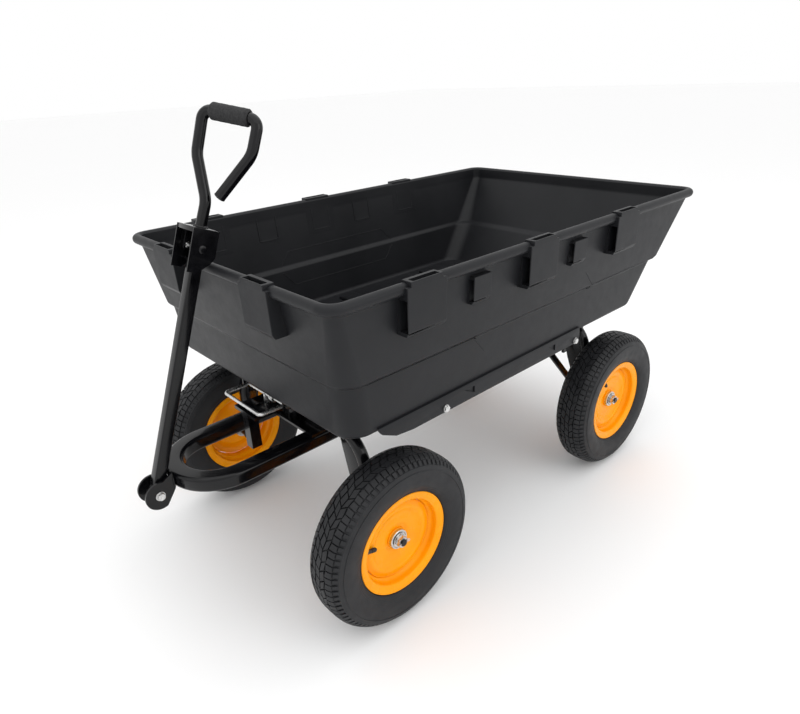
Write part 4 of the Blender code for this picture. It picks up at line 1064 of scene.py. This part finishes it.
def wall_lines():
    """Thin moulded beads: a long six-sided outline inside each side wall, with parts of it outside, and
    the panels behind the pockets."""
    hexagon_top = [(-0.540, 0.6015), (-0.249, 0.6015), (-0.210, 0.650), (0.146, 0.650), (0.188, 0.607),
                   (0.500, 0.607)]
    hexagon_low = [(-0.249, 0.6015), (-0.206, 0.554), (0.146, 0.554), (0.188, 0.607)]
    short_rear = [(0.146, 0.650), (0.188, 0.607), (0.500, 0.607)]
    short_front = [(-0.249, 0.602), (-0.206, 0.554)]
    beads = []
    for _, side in SIDES:
        for inside in (False, True):
            for line in ((hexagon_top, hexagon_low) if inside else (short_rear, short_front)):
                points = []
                for (y0, z0), (y1, z1) in zip(line, line[1:]):
                    for k in range(8):
                        t = k / 8
                        points.append((y0 + (y1 - y0) * t, z0 + (z1 - z0) * t))
                points.append(line[-1])
                path = [Vector((side * wall_x(z, inside), y, z)) for y, z in points]
                beads.append(sweep(path, circle(0.0011 if inside else 0.0006, 8), X_AXIS))
        for y in SIDE_POCKET_YS + HOOD_YS:
            for step in (-0.030, 0.030):
                path = [Vector((side * wall_x(z, True), y + step, z)) for z in (0.694, 0.715, 0.740, 0.756)]
                beads.append(sweep(path, circle(0.0016, 10), Y_AXIS))
            path = [Vector((side * wall_x(0.694, True), y + 0.030 * t, 0.694)) for t in (-1, 0, 1)]
            beads.append(sweep(path, circle(0.0016, 10), Z_AXIS))
    return beads


def floor_detail():
    """Raised cross channels over the frame, long ribs between them, and round bolt bosses."""
    top = FLOOR_Z + WALL
    parts = []
    for y in (-0.395, -0.055, 0.285):
        parts.append(soft_box(-0.318, 0.318, y - 0.030, y + 0.030, top - 0.002, top + 0.0085, 0.004))
        for x in (-0.235, 0.235):
            for step in (-0.014, 0.014):
                parts.append(turned([(0.0, 0.0085), (0.0018, 0.0085), (0.0040, 0.0060), (0.0046, 0.0020)],
                                    (x, y + step, top + 0.0080), (0, 0, 1), 24))
    for x in (-0.20, -0.10, 0.0, 0.10, 0.20):
        for y0, y1 in ((-0.345, -0.105), (-0.005, 0.235)):
            parts.append(soft_box(x - 0.006, x + 0.006, y0, y1, top - 0.002, top + 0.0035, 0.0018))
    return parts


def build_tub_frame():
    corners = [(RING_X, RING_REAR_Y, RING_Z), (RING_X, RING_FRONT_Y, RING_Z), (-RING_X, RING_FRONT_Y, RING_Z),
               (-RING_X, RING_REAR_Y, RING_Z)]
    tube = sweep(fillet_path(corners, (0.100, 0.100), 20), circle(0.0125, 28), Z_AXIS, circle(0.0100, 28))
    piece("look_tub_frame", tube, PAINT, "tub", ["tub_frame"])
    for label, side in SIDES:
        for place, y in (("front", -0.330), ("rear", 0.148)):
            base = Vector((side * 0.3643, y, 0.4655))
            head = hexagon(base, (side, 0, 0), 0.0130, 0.0016, 0.0056)
            ring = turned([(0.0, 0.0084), (0.0016, 0.0084), (0.0016, 0.0044), (0.0, 0.0044)], base, (side, 0, 0), 32,
                          True)
            stem = shaft(base, (side, 0, 0), 0.004, -0.0132, 0.0018, 20, 0.0004)
            piece(f"look_bolt_{place}_{label}", join(head, ring, stem), ZINC, "tub", [f"tub_bolt_{place}_{label}"],
                  30)


def build_latch():
    out = 0.092
    y, z = LATCH.y, LATCH.z
    corners = [(out, y, z), (LATCH_HALF_X, y, z), (LATCH_HALF_X, LATCH_FRONT_Y, z), (-LATCH_HALF_X, LATCH_FRONT_Y, z),
               (-LATCH_HALF_X, y, z), (-out, y, z)]
    wire = sweep(fillet_path(corners, (0.006, 0.010, 0.010, 0.006), 10), circle(0.004, 20), Z_AXIS)
    cross = shaft(LATCH, (1, 0, 0), 0.0036, -0.076, 0.076, 20, 0.0004)
    outline = [(y - 0.006, z + 0.002), (y - 0.006, z - 0.042), (y + 0.0115, z - 0.042), (y + 0.0115, z - 0.031),
               (y + 0.006, z - 0.0305), (y + 0.006, z + 0.002)]
    hook = prism(outline, 0.003)
    round_edges(hook, 0.0007)
    piece("look_latch_loop", join(wire, cross, hook), ZINC, "latch", ["latch_loop"])
    points = []
    for k in range(4 * 20 + 1):
        angle = 2 * pi * k / 20
        points.append(Vector((0.022 + 0.0034 * k / 20, y + 0.0072 * cos(angle), z + 0.0072 * sin(angle))))
    piece("look_latch_spring", sweep(points, circle(0.0012, 10), X_AXIS), ZINC, "tub", ["latch_spring"])


def dress_kept_nodes():
    """CAD nodes that keep their own shape get the finish and softened edges."""
    paint = ("front_crosshead", "rear_crossmember", "turntable_plate", "tub_hinge_frame", "latch_bracket")
    zinc = ("king_pin", "king_pin_nut", "hinge_pin_left", "hinge_pin_right")
    for names, mat in ((paint, PAINT), (zinc, ZINC)):
        for name in names:
            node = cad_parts[name]
            node.data.materials.clear()
            node.data.materials.append(mat)
            soften(node, 0.0008)


# ---- stage, light and camera ----
def build_stage():
    bm = bmesh.new()
    bmesh.ops.create_grid(bm, x_segments=1, y_segments=1, size=30.0)
    mesh = bpy.data.meshes.new("studio_floor")
    bm.to_mesh(mesh)
    bm.free()
    floor = bpy.data.objects.new("studio_floor", mesh)
    bpy.context.collection.objects.link(floor)
    finish = bpy.data.materials.new("studio_floor")
    finish.use_nodes = True
    shader = finish.node_tree.nodes["Principled BSDF"]
    shader.inputs["Base Color"].default_value = (0.97, 0.97, 0.97, 1)
    shader.inputs["Roughness"].default_value = 0.9
    mesh.materials.append(finish)


def softbox(name, location, target, size, power, colour=(1, 1, 1)):
    data = bpy.data.lights.new(name, "AREA")
    data.shape = "RECTANGLE"
    data.size, data.size_y = size
    data.energy = power
    data.color = colour
    light = bpy.data.objects.new(name, data)
    bpy.context.collection.objects.link(light)
    light.location = location
    light.rotation_euler = (Vector(target) - Vector(location)).to_track_quat("-Z", "Y").to_euler()


WORLD_STRENGTH = 1.0


def build_light():
    world = bpy.data.worlds.new("studio")
    world.use_nodes = True
    background = world.node_tree.nodes["Background"]
    background.inputs["Color"].default_value = (1, 1, 1, 1)
    background.inputs["Strength"].default_value = WORLD_STRENGTH
    bpy.context.scene.world = world
    bpy.context.scene.view_settings.view_transform = "Standard"
    softbox("top", (0.3, -0.2, 3.2), (0, 0, 0.4), (4.0, 4.0), 35)
    softbox("front", (0.4, -3.2, 2.0), (0, 0, 0.4), (2.4, 1.6), 4)
    softbox("near", (3.2, 0.6, 2.2), (0, 0.1, 0.4), (2.4, 1.8), 18)


CAMERA_AT = Vector((1.1534, -1.1505, 1.1098))
CAMERA_TURN = radians(48.483)
CAMERA_TILT = radians(24.671)
CAMERA_ROLL = radians(-2.757)
CAMERA_LENS = 27.92


def build_camera():
    back = Vector((sin(CAMERA_TURN) * cos(CAMERA_TILT), -cos(CAMERA_TURN) * cos(CAMERA_TILT),
                   sin(CAMERA_TILT)))
    right = Vector((cos(CAMERA_TURN), sin(CAMERA_TURN), 0))
    up = back.cross(right)
    side = right * cos(CAMERA_ROLL) + up * sin(CAMERA_ROLL)
    top = -right * sin(CAMERA_ROLL) + up * cos(CAMERA_ROLL)
    data = bpy.data.cameras.new("camera")
    data.lens = CAMERA_LENS
    data.sensor_width = 36.0
    camera = bpy.data.objects.new("camera", data)
    bpy.context.collection.objects.link(camera)
    turn = Matrix((side, top, back)).transposed().to_4x4()
    camera.matrix_world = Matrix.Translation(CAMERA_AT + Vector((0, SHIFT, 0))) @ turn
    bpy.context.scene.camera = camera


build_stage()
build_light()
build_camera()
build_wheels()
build_chassis()
build_steering()
build_handle()
build_grip()
build_tub()
build_tub_frame()
build_latch()
dress_kept_nodes()
